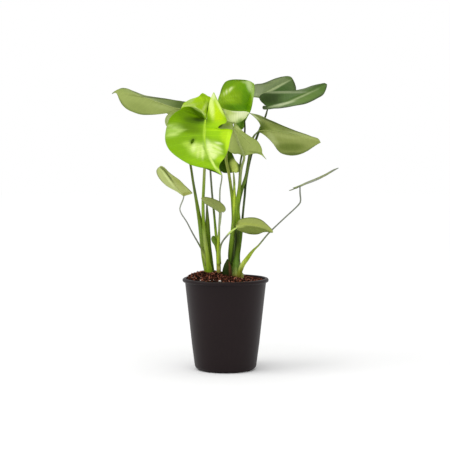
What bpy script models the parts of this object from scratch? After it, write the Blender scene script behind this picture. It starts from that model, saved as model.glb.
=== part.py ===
# Young swiss cheese plant in a nursery pot, metres, +Z up.
# Origin: middle of the pot's flat underside. -Y is the front.
import math
import random

import bmesh
import bpy
from mathutils import Matrix, Vector
from mathutils.bvhtree import BVHTree

# Pot, a thin moulded shell with a lip rolled out and down
POT_HEIGHT = 0.140
RIM_RADIUS = 0.066
TOP_RADIUS = 0.062
BASE_RADIUS = 0.0475
BASE_ROUND = 0.0075
WALL = 0.0016
LIP_HEIGHT = 0.0058
LIP_REACH = 0.0026
LIP_WALL = 0.0013
POT_TURNS = 48
DRAIN_HOLES = 6
DRAIN_RADIUS = 0.0035
DRAIN_CIRCLE = 0.030

# Potting mix
GAP = 0.0003
SOIL_EDGE = 0.1378
SOIL_TILT = 0.032
SOIL_HEAP = 0.0106
HEAP_PLACE = (-0.023, 0.008)
HEAP_SIZE = (0.032, 0.038)
SOIL_ROUGH = 0.0007
SOIL_RINGS = (0.009, 0.018, 0.027, 0.036, 0.045, 0.053)
SOIL_TURNS = 32
PLUG_FOOT = 0.112
PLUG_TOP = 0.131
HOLE_TOP = 0.172

# Leaves and stalks
BLADE = 0.0008
LEVELS = 9
RIB_STEPS = 3
RIB_CURVE = 1.3
EDGE_STEPS = 12
EDGE_EASE = 1.25
TIP_EASE = 1.15
SLIT_DEPTH = 0.03
MERGE = 0.00002
STALK_SPACING = 0.022
STALK_STEPS = 16
STALK_END = 0.0006
SEAT_STEP = 0.00005

# The front view that fixes where the leaves lie: its eye stands in front of
# the pot at this height, looking slightly down, and counts in small steps.
EYE = Vector((-0.0009, -2.204, 0.3677))
LOOK_DOWN = math.radians(3.80)
STEPS = 1446.0
MIDDLE = 225.0
STEP_SIZE = 0.00153


def seen(across, down, depth):
    """Point at this place of the front view, depth in mm behind the pot's axis."""
    right = (across - MIDDLE) / STEPS
    up = (MIDDLE - down) / STEPS
    ray = Vector((right, math.cos(LOOK_DOWN) + up * math.sin(LOOK_DOWN),
                  up * math.cos(LOOK_DOWN) - math.sin(LOOK_DOWN)))
    return EYE + ray * ((depth / 1000 - EYE.y) / ray.y)


def clear_scene():
    for thing in list(bpy.data.objects):
        bpy.data.objects.remove(thing, do_unlink=True)


def finish(name, colour, roughness):
    material = bpy.data.materials.new(name)
    material.use_nodes = True
    shader = material.node_tree.nodes["Principled BSDF"]
    linear = [(c / 255) ** 2.2 for c in colour]
    shader.inputs["Base Color"].default_value = (*linear, 1.0)
    shader.inputs["Roughness"].default_value = roughness
    shader.inputs["Metallic"].default_value = 0.0
    return material


def new_object(name, mesh, colour=None, roughness=0.5):
    thing = bpy.data.objects.new(name, mesh)
    bpy.context.scene.collection.objects.link(thing)
    if colour:
        mesh.materials.append(finish(name, colour, roughness))
    return thing


def smooth(thing, angle):
    thing.data.shade_smooth()
    thing.data.set_sharp_from_angle(angle=math.radians(angle))


def spline(points, per):
    """Smooth curve through tuples of numbers that keeps them, per spans for each stretch."""
    first = [2 * a - b for a, b in zip(points[0], points[1])]
    last = [2 * a - b for a, b in zip(points[-1], points[-2])]
    rows = [Vector(first)] + [Vector(p) for p in points] + [Vector(last)]
    curve = []
    for i in range(1, len(rows) - 2):
        a, b, c, d = rows[i - 1:i + 3]
        k1, k2, k3 = (max((q.xyz - p.xyz).length, 1e-6) ** 0.5 for p, q in ((a, b), (b, c), (c, d)))
        for j in range(per):
            t = k1 + k2 * j / per
            ab = a * ((k1 - t) / k1) + b * (t / k1)
            bc = b * ((k1 + k2 - t) / k2) + c * ((t - k1) / k2)
            cd = c * ((k1 + k2 + k3 - t) / k3) + d * ((t - k1 - k2) / k3)
            abc = ab * ((k1 + k2 - t) / (k1 + k2)) + bc * (t / (k1 + k2))
            bcd = bc * ((k1 + k2 + k3 - t) / (k2 + k3)) + cd * ((t - k1) / (k2 + k3))
            curve.append(abc * ((k1 + k2 - t) / k2) + bcd * ((t - k1) / k2))
    curve.append(rows[-2])
    return curve


def arc_shares(curve):
    """Share of the length reached at each point of a curve."""
    sums = [0.0]
    for a, b in zip(curve, curve[1:]):
        sums.append(sums[-1] + (b.xyz - a.xyz).length)
    return [s / sums[-1] for s in sums]


def read_at(curve, shares, share):
    """Point of a curve where its rising shares reach this share."""
    for i in range(1, len(curve)):
        if shares[i] >= share:
            span = shares[i] - shares[i - 1]
            t = (share - shares[i - 1]) / span if span > 0 else 1.0
            return curve[i - 1].lerp(curve[i], max(0.0, min(1.0, t)))
    return curve[-1].copy()


def rib_starts(hold, shares):
    """Share of the midrib at which the rib to each point of an edge starts.

    hold is the share of the edge held by ribs that fan out from the stalk, or
    the given starts of some of its outline's points.
    """
    if isinstance(hold, float):
        return [0.0 if s <= hold else ((s - hold) / (1 - hold)) ** EDGE_EASE for s in shares]
    starts = []
    last = max(hold)
    base = shares[last * EDGE_STEPS]
    for i, s in enumerate(shares):
        place = i / EDGE_STEPS
        if place >= last:
            starts.append(hold[last] + (1 - hold[last]) * ((s - base) / (1 - base)) ** TIP_EASE)
        else:
            below = max(k for k in hold if k <= place)
            above = min(k for k in hold if k > place)
            starts.append(hold[below] + (hold[above] - hold[below]) * (place - below) / (above - below))
    return starts


def blade_ribs(leaf):
    """Ribs of both halves of a blade, each a row of points from the midrib out to the edge.

    The first ribs of a half fan out from the stalk, the others leave the midrib level by level.
    """
    u0, v0 = leaf["mid"][0][:2]

    def place(u, v, extra):
        depth = leaf["depth"] + leaf.get("lean", 0) * (v - v0) + extra
        return seen(u, v, depth)

    midrib = spline([tuple(place(*p)) for p in leaf["mid"]], EDGE_STEPS)
    mid_shares = arc_shares(midrib)
    halves = []
    for half, hold in zip(("left", "right"), leaf["hold"]):
        rows = []
        for u, v, extra, *bow in leaf[half]:
            end = place(u, v, extra)
            offset = place(u + bow[0], v + bow[1], extra + bow[2]) - end if bow else Vector((0, 0, 0))
            rows.append((*end, *offset))
        rows.append((*midrib[-1], 0, 0, 0))
        edge = spline(rows, EDGE_STEPS)
        starts = rib_starts(hold, arc_shares(edge))
        held = max(i for i, s in enumerate(starts) if s <= 0.0)
        ends = [(0.0, edge[i]) for i in range(0, held + 1, EDGE_STEPS)]
        if held % EDGE_STEPS > EDGE_STEPS // 3:
            ends.append((0.0, edge[held]))
        for level in range(1, LEVELS + 1):
            ends.append((level / LEVELS, read_at(edge, starts, level / LEVELS)))
        ribs = []
        for start, end in ends:
            root = read_at(midrib, mid_shares, start)
            ahead = read_at(midrib, mid_shares, min(1.0, start + 0.02))
            behind = read_at(midrib, mid_shares, max(0.0, start - 0.02))
            along = (ahead - behind).normalized()
            reach = end.xyz - root
            run = along * reach.dot(along)
            across = reach - run
            bow = Vector(end[3:6])
            rib = []
            for j in range(RIB_STEPS + 1):
                q = j / RIB_STEPS
                rib.append(root + across * q + run * q ** RIB_CURVE + bow * (4 * q * (1 - q)))
            ribs.append(rib)
        halves.append((half, ribs))
    return halves


def blade_mesh(name, leaf):
    """Middle surface of a blade with its upper face out, in triangles."""
    shape = bmesh.new()
    for half, ribs in blade_ribs(leaf):
        rows = [[shape.verts.new(p) for p in rib] for rib in ribs]
        for a, b in zip(rows, rows[1:]):
            for j in range(RIB_STEPS):
                corners = [a[j], b[j], b[j + 1], a[j + 1]]
                shape.faces.new(corners if half == "left" else corners[::-1])
    bmesh.ops.remove_doubles(shape, verts=shape.verts, dist=MERGE)
    bmesh.ops.dissolve_degenerate(shape, edges=shape.edges, dist=MERGE)
    bmesh.ops.triangulate(shape, faces=shape.faces)
    mesh = bpy.data.meshes.new(name)
    shape.to_mesh(mesh)
    shape.free()
    return mesh


def blade_tree(leaf):
    """The middle surface of a blade, for measuring distances to it."""
    mesh = blade_mesh("measured", leaf)
    tree = BVHTree.FromPolygons([v.co for v in mesh.vertices], [tuple(f.vertices) for f in mesh.polygons])
    bpy.data.meshes.remove(mesh)
    return tree


def make_leaf(name, leaf):
    mesh = blade_mesh(name, leaf)
    thing = new_object("leaf_" + name, mesh, leaf["colour"], 0.35)
    smooth(thing, 60)
    solid = thing.modifiers.new("thickness", "SOLIDIFY")
    solid.thickness = BLADE
    solid.offset = 0.0
    if "hole" in leaf:
        u, v, depth, long, wide, turn = leaf["hole"]
        centre = seen(u, v, depth)
        shape = bmesh.new()
        bmesh.ops.create_cone(shape, cap_ends=True, segments=12, radius1=1, radius2=1, depth=SLIT_DEPTH,
                              matrix=Matrix.Translation(centre) @ Matrix.Rotation(math.radians(90), 4, "X")
                              @ Matrix.Rotation(math.radians(turn), 4, "Z")
                              @ Matrix.Diagonal((wide / 2, long / 2, 1, 1)))
        cut_with(thing, shape, "slit")
    return thing


def blade_base(leaf):
    """Where the midrib starts."""
    u, v, extra = leaf["mid"][0]
    return seen(u, v, leaf["depth"] + extra)


def seat_on_blade(start, base, radius, blade):
    """End of a stalk that grows from start towards the blade's base and stops just short of it."""
    way = (base - start).normalized()
    side = way.orthogonal().normalized()
    other = way.cross(side)
    clear = BLADE / 2 + GAP + MERGE
    reach = (base - start).length + 0.003
    end = start
    travel = 0.0
    while travel < reach:
        travel += SEAT_STEP
        here = start + way * travel
        rim = [here] + [here + (side * math.cos(math.tau * i / 12) + other * math.sin(math.tau * i / 12)) * radius
                        for i in range(12)]
        if min(blade.find_nearest(p)[3] for p in rim) < clear:
            break
        end = here
    return end


def stalk_object(name, points, blade=None, base=None):
    """Tapered round stalk through (across, down, depth in mm, width in steps) points."""
    rows = [(*seen(u, v, depth), width * STEP_SIZE / 2) for u, v, depth, width in points]
    if blade:
        before = Vector(rows[-1][:3])
        rows.append((*seat_on_blade(before, base, STALK_END, blade), STALK_END))
    fine = spline(rows, STALK_STEPS)
    length = sum((b.xyz - a.xyz).length for a, b in zip(fine, fine[1:]))
    count = max(4, round(length / STALK_SPACING))
    shares = arc_shares(fine)
    path = [read_at(fine, shares, i / count) for i in range(count + 1)]
    curve = bpy.data.curves.new(name, "CURVE")
    curve.dimensions = "3D"
    curve.bevel_depth = 1.0
    curve.bevel_resolution = 1
    curve.use_fill_caps = True
    line = curve.splines.new("POLY")
    line.points.add(len(path) - 1)
    for point, place in zip(line.points, path):
        point.co = (*place[:3], 1.0)
        point.radius = place[3]
    thing = bpy.data.objects.new(name, curve)
    bpy.context.scene.collection.objects.link(thing)
    bpy.context.view_layer.update()
    solid = bpy.data.meshes.new_from_object(thing.evaluated_get(bpy.context.evaluated_depsgraph_get()))
    bpy.data.objects.remove(thing, do_unlink=True)
    shape = bmesh.new()
    shape.from_mesh(solid)
    bmesh.ops.remove_doubles(shape, verts=shape.verts, dist=0.000002)
    bmesh.ops.recalc_face_normals(shape, faces=shape.faces)
    shape.to_mesh(solid)
    shape.free()
    return bpy.data.objects.new(name, solid)


def make_clump(name, stalks, plug, colour):
    """Stalks of one clump, grown together with the root crown that sits in its hole."""
    x, y, radius = plug
    crown = bmesh.new()
    bmesh.ops.create_cone(crown, cap_ends=True, segments=16, radius1=radius * 0.8, radius2=radius,
                          depth=PLUG_TOP - PLUG_FOOT,
                          matrix=Matrix.Translation((x, y, (PLUG_TOP + PLUG_FOOT) / 2)))
    mesh = bpy.data.meshes.new(name)
    crown.to_mesh(mesh)
    crown.free()
    thing = new_object(name, mesh, colour, 0.45)
    group = bpy.data.collections.new(name + "_stalks")
    bpy.context.scene.collection.children.link(group)
    for index, (borne, points) in enumerate(stalks):
        title = name + "_stalk_" + str(index)
        if borne:
            leaf = LEAVES[borne]
            group.objects.link(stalk_object(title, points, blade_tree(leaf), blade_base(leaf)))
        else:
            group.objects.link(stalk_object(title, points))
    join = thing.modifiers.new("grown_together", "BOOLEAN")
    join.operation = "UNION"
    join.solver = "EXACT"
    join.operand_type = "COLLECTION"
    join.collection = group
    bpy.context.view_layer.update()
    whole = bpy.data.meshes.new_from_object(thing.evaluated_get(bpy.context.evaluated_depsgraph_get()))
    thing.modifiers.clear()
    thing.data = whole
    for part in list(group.objects):
        bpy.data.objects.remove(part, do_unlink=True)
    bpy.data.collections.remove(group)
    smooth(thing, 50)
    return thing


def turned(name, profile, segments, colour=None, roughness=0.5):
    """Closed outline of (radius, height) points turned about Z."""
    shape = bmesh.new()
    ring = [shape.verts.new((r, 0, z)) for r, z in profile]
    edges = [shape.edges.new((ring[i], ring[(i + 1) % len(ring)])) for i in range(len(ring))]
    bmesh.ops.spin(shape, geom=ring + edges, cent=(0, 0, 0), axis=(0, 0, 1), angle=math.tau,
                   steps=segments, use_merge=True)
    bmesh.ops.remove_doubles(shape, verts=shape.verts, dist=0.000005)
    bmesh.ops.dissolve_degenerate(shape, edges=shape.edges, dist=0.000005)
    bmesh.ops.recalc_face_normals(shape, faces=shape.faces)
    mesh = bpy.data.meshes.new(name)
    shape.to_mesh(mesh)
    shape.free()
    return new_object(name, mesh, colour, roughness)


def inner_radius(height):
    """Radius of the pot's inside at a height."""
    foot = BASE_RADIUS - WALL
    top = TOP_RADIUS - WALL
    return foot + (top - foot) * height / POT_HEIGHT


def arc(centre, radii, start, end, steps):
    """Points (radius, height) round an ellipse from one angle to another, in degrees."""
    turns = [math.radians(start + (end - start) * i / steps) for i in range(steps + 1)]
    return [(centre[0] + radii[0] * math.cos(a), centre[1] + radii[1] * math.sin(a)) for a in turns]


def make_pot():
    lip = (RIM_RADIUS - LIP_REACH, POT_HEIGHT - LIP_HEIGHT / 2)
    profile = [(0.0, 0.0)]
    profile += arc((BASE_RADIUS - BASE_ROUND, BASE_ROUND), (BASE_ROUND, BASE_ROUND), -90, 0, 3)
    profile += [
        (TOP_RADIUS, POT_HEIGHT - LIP_HEIGHT - LIP_WALL),
        (TOP_RADIUS + LIP_WALL / 8, POT_HEIGHT - 2 * LIP_WALL),
    ]
    profile += arc(lip, (LIP_REACH - LIP_WALL, LIP_HEIGHT / 2 - LIP_WALL), 90, -70, 4)
    profile += arc(lip, (LIP_REACH, LIP_HEIGHT / 2), -70, 90, 5)
    profile += [
        (TOP_RADIUS - WALL / 2, POT_HEIGHT - WALL / 8),
        (TOP_RADIUS - WALL, POT_HEIGHT - WALL * 0.8),
        (inner_radius(BASE_ROUND) - GAP, BASE_ROUND + WALL / 2),
        (BASE_RADIUS - BASE_ROUND, WALL * 1.4),
        (0.0, WALL),
    ]
    pot = turned("pot", profile, POT_TURNS, (38, 31, 30), 0.38)
    holes = bmesh.new()
    for i in range(DRAIN_HOLES):
        a = math.tau * (i + 0.5) / DRAIN_HOLES
        place = Matrix.Translation((DRAIN_CIRCLE * math.cos(a), DRAIN_CIRCLE * math.sin(a), 0))
        bmesh.ops.create_cone(holes, cap_ends=True, segments=12, radius1=DRAIN_RADIUS,
                              radius2=DRAIN_RADIUS, depth=4 * WALL, matrix=place)
    cut_with(pot, holes, "drain_holes")
    smooth(pot, 35)
    return pot


def cut_with(thing, cutters, name):
    """Takes the cutters' shapes out of an object."""
    mesh = bpy.data.meshes.new(name)
    cutters.to_mesh(mesh)
    cutters.free()
    cutter = new_object(name, mesh)
    cutter.hide_render = True
    cutter.display_type = "WIRE"
    cut = thing.modifiers.new(name, "BOOLEAN")
    cut.operation = "DIFFERENCE"
    cut.solver = "EXACT"
    cut.object = cutter


def soil_height(x, y):
    """Top of the potting mix, heaped a little left of the middle."""
    r = min(1.0, math.hypot(x, y) / (TOP_RADIUS - WALL))
    heap = math.exp(-((x - HEAP_PLACE[0]) / HEAP_SIZE[0]) ** 2 / 2 - ((y - HEAP_PLACE[1]) / HEAP_SIZE[1]) ** 2 / 2)
    return SOIL_EDGE - SOIL_TILT * x + SOIL_HEAP * heap * (1 - r ** 10)


def make_soil():
    dice = random.Random(11)
    top_edge = inner_radius(SOIL_EDGE - SOIL_TILT * TOP_RADIUS) - GAP - MERGE
    turns = [math.tau * i / SOIL_TURNS for i in range(SOIL_TURNS)]
    shape = bmesh.new()
    centre = shape.verts.new((0, 0, soil_height(0, 0)))
    rows = []
    for r in (*SOIL_RINGS, top_edge):
        row = []
        for a in turns:
            x, y = r * math.cos(a), r * math.sin(a)
            rough = dice.uniform(-SOIL_ROUGH, SOIL_ROUGH) if r < top_edge else 0.0
            row.append(shape.verts.new((x, y, soil_height(x, y) + rough)))
        rows.append(row)
    foot = WALL * 1.4 + GAP
    shoulder = (inner_radius(BASE_ROUND) - 3 * GAP, BASE_ROUND + WALL)
    for r, z in (shoulder, (BASE_RADIUS - BASE_ROUND - 3 * GAP, foot)):
        rows.append([shape.verts.new((r * math.cos(a), r * math.sin(a), z)) for a in turns])
    bottom = shape.verts.new((0, 0, foot))
    for i in range(SOIL_TURNS):
        k = (i + 1) % SOIL_TURNS
        shape.faces.new((centre, rows[0][i], rows[0][k]))
        for a, b in zip(rows, rows[1:]):
            shape.faces.new((a[i], b[i], b[k], a[k]))
        shape.faces.new((bottom, rows[-1][k], rows[-1][i]))
    bmesh.ops.triangulate(shape, faces=shape.faces)
    mesh = bpy.data.meshes.new("soil")
    shape.to_mesh(mesh)
    shape.free()
    soil = new_object("soil", mesh, (77, 49, 34), 0.95)
    holes = bmesh.new()
    foot = PLUG_FOOT - GAP
    for x, y, radius in PLUGS.values():
        wide = radius + 5 * GAP / 3
        bmesh.ops.create_cone(holes, cap_ends=True, segments=16, radius1=wide, radius2=wide,
                              depth=HOLE_TOP - foot, matrix=Matrix.Translation((x, y, (HOLE_TOP + foot) / 2)))
    cut_with(soil, holes, "stalk_holes")
    smooth(soil, 40)
    return soil


# Blades. Every point is (across, down, extra depth in mm); three more numbers bow
# the middle of the rib that ends there. "lean" is mm of depth for each step down.
# "hold" is the share of the edge whose ribs fan out from the stalk.
LEAVES = {
    "far_left": {
        "depth": 12, "colour": (156, 171, 96),
        "hold": (0.16, 0.36),
        "mid": [(181, 109.5, 0), (175, 108.4, -3), (160, 103.2, -7), (144, 97.6, -9), (130, 93.6, -10),
            (120, 91.6, -10), (115.6, 91.4, -10), (111.6, 94, -10)],
        "left": [(185, 109, 8), (190.5, 104, 16), (183, 101.6, 26), (175, 100.2, 32), (165, 98.8, 34),
            (146, 95.7, 30), (134, 91.6, 16), (127, 88.8, 6), (121.5, 88.2, -4), (117.6, 89.7, -8),
            (115, 91, -10)],
        "right": [(180, 113, 2), (177, 124, 5), (171, 129, 6), (167, 127, 6), (164.9, 121.5, 5),
            (166, 116.5, 4), (168.6, 113.5, 4), (160, 113.8, 5), (150, 114.8, 6), (141, 114.6, 6),
            (133, 112.3, 4), (126.5, 109, 0), (122, 104.6, -3), (119.2, 99.5, -6), (117.4, 94.8, -8),
            (115.9, 92.8, -9), (113.8, 93.1, -10)],
    },
    "front": {
        "depth": -28, "lean": -1.05, "colour": (140, 190, 30),
        "hold": ({0: 0.0, 10: 0.0, 11: 0.09, 12: 0.12, 13: 0.14, 14: 0.1667}, 0.22),
        "hole": (192.4, 141.2, -50, 0.0080, 0.0040, -28),
        "mid": [(205.5, 120, 0), (205, 128, 2), (204.6, 138, 3), (206.5, 149, 3), (212.5, 162, 1),
            (219, 171, 0), (222, 175.3, 0)],
        "left": [(207, 119, 0), (209, 110, 4), (210, 102, 5), (211.4, 97, 5), (213.8, 92.3, 5),
            (216.3, 97.2, 5), (219.6, 104.5, 4), (223.4, 112.6, 2), (226.8, 120.6, 0), (225, 123.4, 0),
            (221.6, 124.4, 0), (217.8, 127.6, 1), (221, 129.2, 0), (226, 128.6, 0), (232.6, 130, 2),
            (231.5, 134.5, 2), (230, 140, 2), (228.5, 148, 2), (225, 157, 1), (220.2, 163, 0),
            (219, 167, 0), (220.2, 171.5, 0)],
        "right": [(204.8, 117.5, 5), (203, 114.3, 4, 0, 1, 3), (199, 110, 2, 0, 2, 10),
            (195, 108, 0, 0, 2, 13), (190, 107, -2, 0, 1, 15), (184, 107.5, -4, 0, 0, 15),
            (180, 110, -5, 0, 0, 13), (175, 113, -5, 0, 0, 11), (170, 118, -4, 0, 0, 8),
            (167.5, 124, -2, 0, 0, 5), (166, 129, 0, 0, 0, 3), (165, 137, 1), (165.5, 142, 2),
            (168, 148, 3), (172, 153, 3), (180, 159, 3), (190, 164.5, 3), (200, 167.5, 2),
            (208, 168.6, 1), (214, 170.3, 0), (219, 173.5, 0)],
    },
    "behind_left": {
        "depth": 12, "colour": (140, 190, 30),
        "hold": (0.3, 0.4),
        "mid": [(209, 122, 0), (203, 115, -1), (195, 110, -5), (181, 108.5, -10)],
        "left": [(207, 127, -3), (206, 137, -6), (200.5, 145.5, -8), (193, 147.5, -9), (187.5, 142, -9),
            (184.2, 131, -9), (181.6, 117, -9)],
        "right": [(211, 113, 0), (211.4, 103, 0), (210.6, 97.2, 0), (208, 96, 0), (205, 94, 0),
            (202.5, 93, 0), (200.4, 94.5, -2), (199, 96, -2), (196, 97.5, -4), (191, 99, -6),
            (187.5, 100.7, -8), (183.5, 103.5, -9)],
    },
    "upper": {
        "depth": 0, "colour": (123, 164, 25),
        "hold": (0.42, 0.3),
        "mid": [(244.5, 118.5, 6), (245.5, 113, 16), (247.5, 105, 24), (250, 95, 28), (252, 88, 29),
            (254, 83.5, 28)],
        "left": [(247, 116.3, 0), (249.3, 112.4, -6), (245.5, 111.3, -9, 1.5, 1, 0),
            (240, 111.3, -12, -2, 6, -3), (232, 110.8, -13, -5, 9, -4), (225.5, 109.3, -10, -7, 9, -2),
            (221.3, 107, -3, -6, 8, 5), (218.2, 100, 6, -2, 3, 8), (219.8, 94, 10, 0, 0, 6),
            (222, 87, 17, 0, 0, 4), (225.5, 81.8, 23), (231, 79.8, 27), (240, 79.5, 29), (249, 80.7, 29)],
        "right": [(242, 119.5, 9), (236.8, 121.5, 14), (235.8, 125.5, 14), (239.5, 129.8, 13),
            (243.2, 128.6, 12), (245, 122.5, 11), (247.5, 116.5, 9), (250, 111, 9), (252, 103.5, 11),
            (253.3, 97, 14), (254.3, 90, 19)],
    },
    "back_right": {
        "depth": 66, "colour": (90, 110, 60),
        "hold": (0.22, 0.1),
        "mid": [(251, 97.5, -3), (261, 94, -2), (270, 89.5, 0), (280, 84.2, 4), (292, 77.8, 10)],
        "left": [(248, 95, 6), (249, 89, 14), (255, 84.6, 20), (262, 83.4, 25), (269, 80.9, 26),
            (276, 78.2, 24), (282, 76.4, 20), (287, 75.9, 15), (290.4, 76.6, 12)],
        "right": [(251.5, 97.2, -4), (255, 96.3, -6), (259.5, 95.6, -9), (264, 98.5, -12),
            (272, 102.3, -14), (282, 102.3, -13), (290, 99, -10), (295, 94, -5), (296.2, 89.2, 0),
            (294.6, 82.6, 5)],
    },
    "far_right": {
        "depth": 20, "colour": (80, 105, 55),
        "hold": (0.22, 0.2),
        "mid": [(268, 107.3, 0), (275, 105, -1), (283, 102, -2), (292, 97.7, -3), (300, 94.7, -3),
            (310, 90.5, -2), (320, 86.5, 0), (327, 84.3, 2)],
        "left": [(266, 105.6, 4), (262.4, 102.8, 10), (259.4, 98.8, 16), (260, 95.6, 21),
            (263.2, 93.4, 26), (270, 91.9, 30), (280, 91.2, 30), (290, 90.8, 28), (298, 89.8, 24),
            (305.5, 87.9, 18), (312.5, 85.6, 12), (319.5, 83.7, 7), (324.6, 83, 4)],
        "right": [(266, 106.5, -3), (262.8, 106.2, -8), (263, 109, -12), (268, 109.3, -17),
            (274, 108.4, -23), (282, 107.5, -28), (290, 106.6, -28), (300, 105, -24),
            (306, 103.5, -20), (312, 101, -16), (318, 98, -12), (323, 95, -8), (325.4, 91, -4),
            (326.8, 87, 0)],
    },
    "right": {
        "depth": 2, "colour": (140, 155, 75),
        "hold": (0.12, 0.28),
        "mid": [(258.5, 131, 0), (265, 130.5, -3), (275, 132, -5), (290, 134.3, -6), (303, 137, -6),
            (313, 140, -5), (320.8, 142.6, -4)],
        "left": [(259.5, 132.8, 1), (262, 133, 2), (265, 133.8, 4), (268, 136.8, 6), (273, 143.3, 8),
            (277, 149.3, 9), (281, 153, 9), (287, 155, 8), (293, 155.6, 7), (300, 154.4, 5),
            (307, 151.2, 2), (312.6, 147.4, -1), (317, 144.6, -3)],
        "right": [(249.8, 113.2, 10, 4.6, 1.2, -3), (254, 114.2, 12, 4, 0.5, -3),
            (260, 115.5, 14, 2.5, 0, -2), (268, 119, 17, 1, 0, 0), (275, 122, 19), (285, 126.5, 19),
            (295, 130.5, 16), (305, 134.2, 11), (312, 136.9, 5), (318.3, 138.9, 0)],
    },
    "inner_right": {
        "depth": -12, "colour": (151, 166, 88),
        "hold": (0.35, 0.05),
        "mid": [(233.5, 128, 0), (240, 134, -1), (248, 142, -2), (256, 150, -2), (261, 154, -1),
            (266.3, 159.3, 0)],
        "left": [(232.4, 122.8, 2), (227.5, 121.2, 4), (222, 122.4, 5), (218, 126, 6), (217, 131.5, 7),
            (219, 140, 7), (224, 147, 6), (229.5, 151.5, 4), (234, 154, 2), (238, 153.9, 1), (244, 156, 0),
            (247, 155.2, 0), (252, 154, -1), (257, 153.7, -1), (262, 155.6, -1)],
        "right": [(233.8, 122.8, 2), (236.6, 124.6, 4), (240.6, 129.2, 8), (245, 133.4, 12),
            (250, 137, 14), (257, 141, 12), (260, 145, 9), (262, 149.5, 5), (262.4, 153.3, 2)],
    },
    "shaded": {
        "depth": 24, "colour": (54, 79, 9),
        "hold": (0.4, 0.35),
        "mid": [(233.5, 172.3, 0), (231.5, 166, 2), (229.5, 158, 3), (227, 149, 3)],
        "left": [(229, 173, -2), (223, 172.6, -3), (219, 168.5, -3), (218, 162, -3), (220, 155, -1),
            (223.5, 150, 2)],
        "right": [(236, 173, -2), (239.5, 171.4, -5), (240.3, 166.5, -6), (238.5, 163.6, -4),
            (235.5, 160.5, -2), (232.5, 154.5, 0), (230, 150, 2)],
    },
    "hidden": {
        "depth": -6, "colour": (54, 79, 9),
        "hold": (0.35, 0.2),
        "mid": [(216.5, 163, 0), (211, 165.5, 2), (204.5, 168.4, 3)],
        "left": [(218.5, 168, -1), (221.3, 174.8, -3), (215, 172.4, -3), (210, 170.6, -1),
            (207, 169.3, 1)],
        "right": [(217, 157, 2), (211, 155, 4), (205, 160, 4), (202.5, 165.5, 4)],
    },
    "small_left": {
        "depth": -22, "colour": (181, 189, 117),
        "hold": (0.25, 0.15),
        "mid": [(183.8, 196.2, 0), (180, 191.5, -2), (174, 184.5, -3), (168, 176.5, -3),
            (163.4, 169.6, -2), (160.8, 165.8, -1.5)],
        "left": [(185.8, 195.6, 3), (189.5, 194.5, 8), (192.4, 193.2, 11), (189.6, 189.8, 13),
            (184.5, 184.8, 13), (179.5, 179.6, 12), (174.5, 176, 11), (169.5, 172.4, 9),
            (166.4, 169.4, 6), (163.6, 166.9, 3)],
        "right": [(182.6, 195.4, 2), (179.6, 192.8, 5), (175.5, 190.4, 8), (170, 187.8, 11),
            (165.5, 185, 12), (161, 180.8, 12), (157.6, 176, 10), (156.2, 171.4, 6), (157.8, 168, 1)],
    },
    "small_centre": {
        "depth": -26, "colour": (144, 154, 93),
        "hold": (0.2, 0.15),
        "mid": [(221.5, 211.5, 0), (215, 206, -2), (208, 201.5, -3), (201, 198, -2)],
        "left": [(223.5, 212.5, 2), (225.5, 210.5, 6), (225.3, 207.5, 9), (223, 204.3, 11),
            (219, 201.2, 11), (214, 199, 9), (209, 197.6, 5), (205, 197, 1)],
        "right": [(221, 213.5, 3), (218.5, 212.2, 6), (213, 208.6, 9), (208, 205.6, 8), (204, 203, 4),
            (202, 200.3, 0)],
    },
    "low_right": {
        "depth": -27, "colour": (148, 158, 73),
        "hold": (0.15, 0.22),
        "mid": [(237, 227.5, 0), (243, 226, -2), (250, 225.8, -3), (262, 228, -3), (273, 232.6, 0)],
        "left": [(236.8, 229.5, 3), (239, 230.5, 6), (243, 232.3, 9), (250, 234.2, 10), (258, 234, 8),
            (263, 232.2, 6), (267, 231.9, 4), (270, 232.5, 1)],
        "right": [(235.4, 226, 3), (237, 222.5, 8), (240, 219, 12), (247, 217.4, 14), (255, 217.5, 14),
            (262, 220, 12), (267.3, 224.5, 8), (271, 228.4, 4), (272.6, 230.6, 1.5)],
    },
    "edge_right": {
        "depth": -6, "colour": (130, 140, 90),
        "hold": (0.25, 0.25),
        "mid": [(300, 186.6, 0), (306, 184, -1), (316, 179.3, 0), (326, 174.8, 0), (333, 170.5, 0),
            (338.6, 168, 0)],
        "left": [(297, 188.4, -5), (291, 190.2, -11), (289, 190.4, -17), (296, 188.2, -21),
            (305, 184.8, -23), (315, 181, -20), (325, 176.6, -13), (332, 172.2, -6)],
        "right": [(298, 187.4, 6), (293, 188.6, 13), (296, 187, 19), (304, 183.2, 22),
            (314, 178.8, 20), (324, 174.2, 13), (332, 169.9, 6)],
    },
}

# Root crowns in the mix: x, y and radius in metres
PLUGS = {
    "left": (-0.0252, 0.0035, 0.0092),
    "middle": (-0.0102, 0.0012, 0.0042),
    "right": (0.0174, 0.0030, 0.0126),
    "bud": (0.0008, -0.0070, 0.0046),
}

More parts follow.
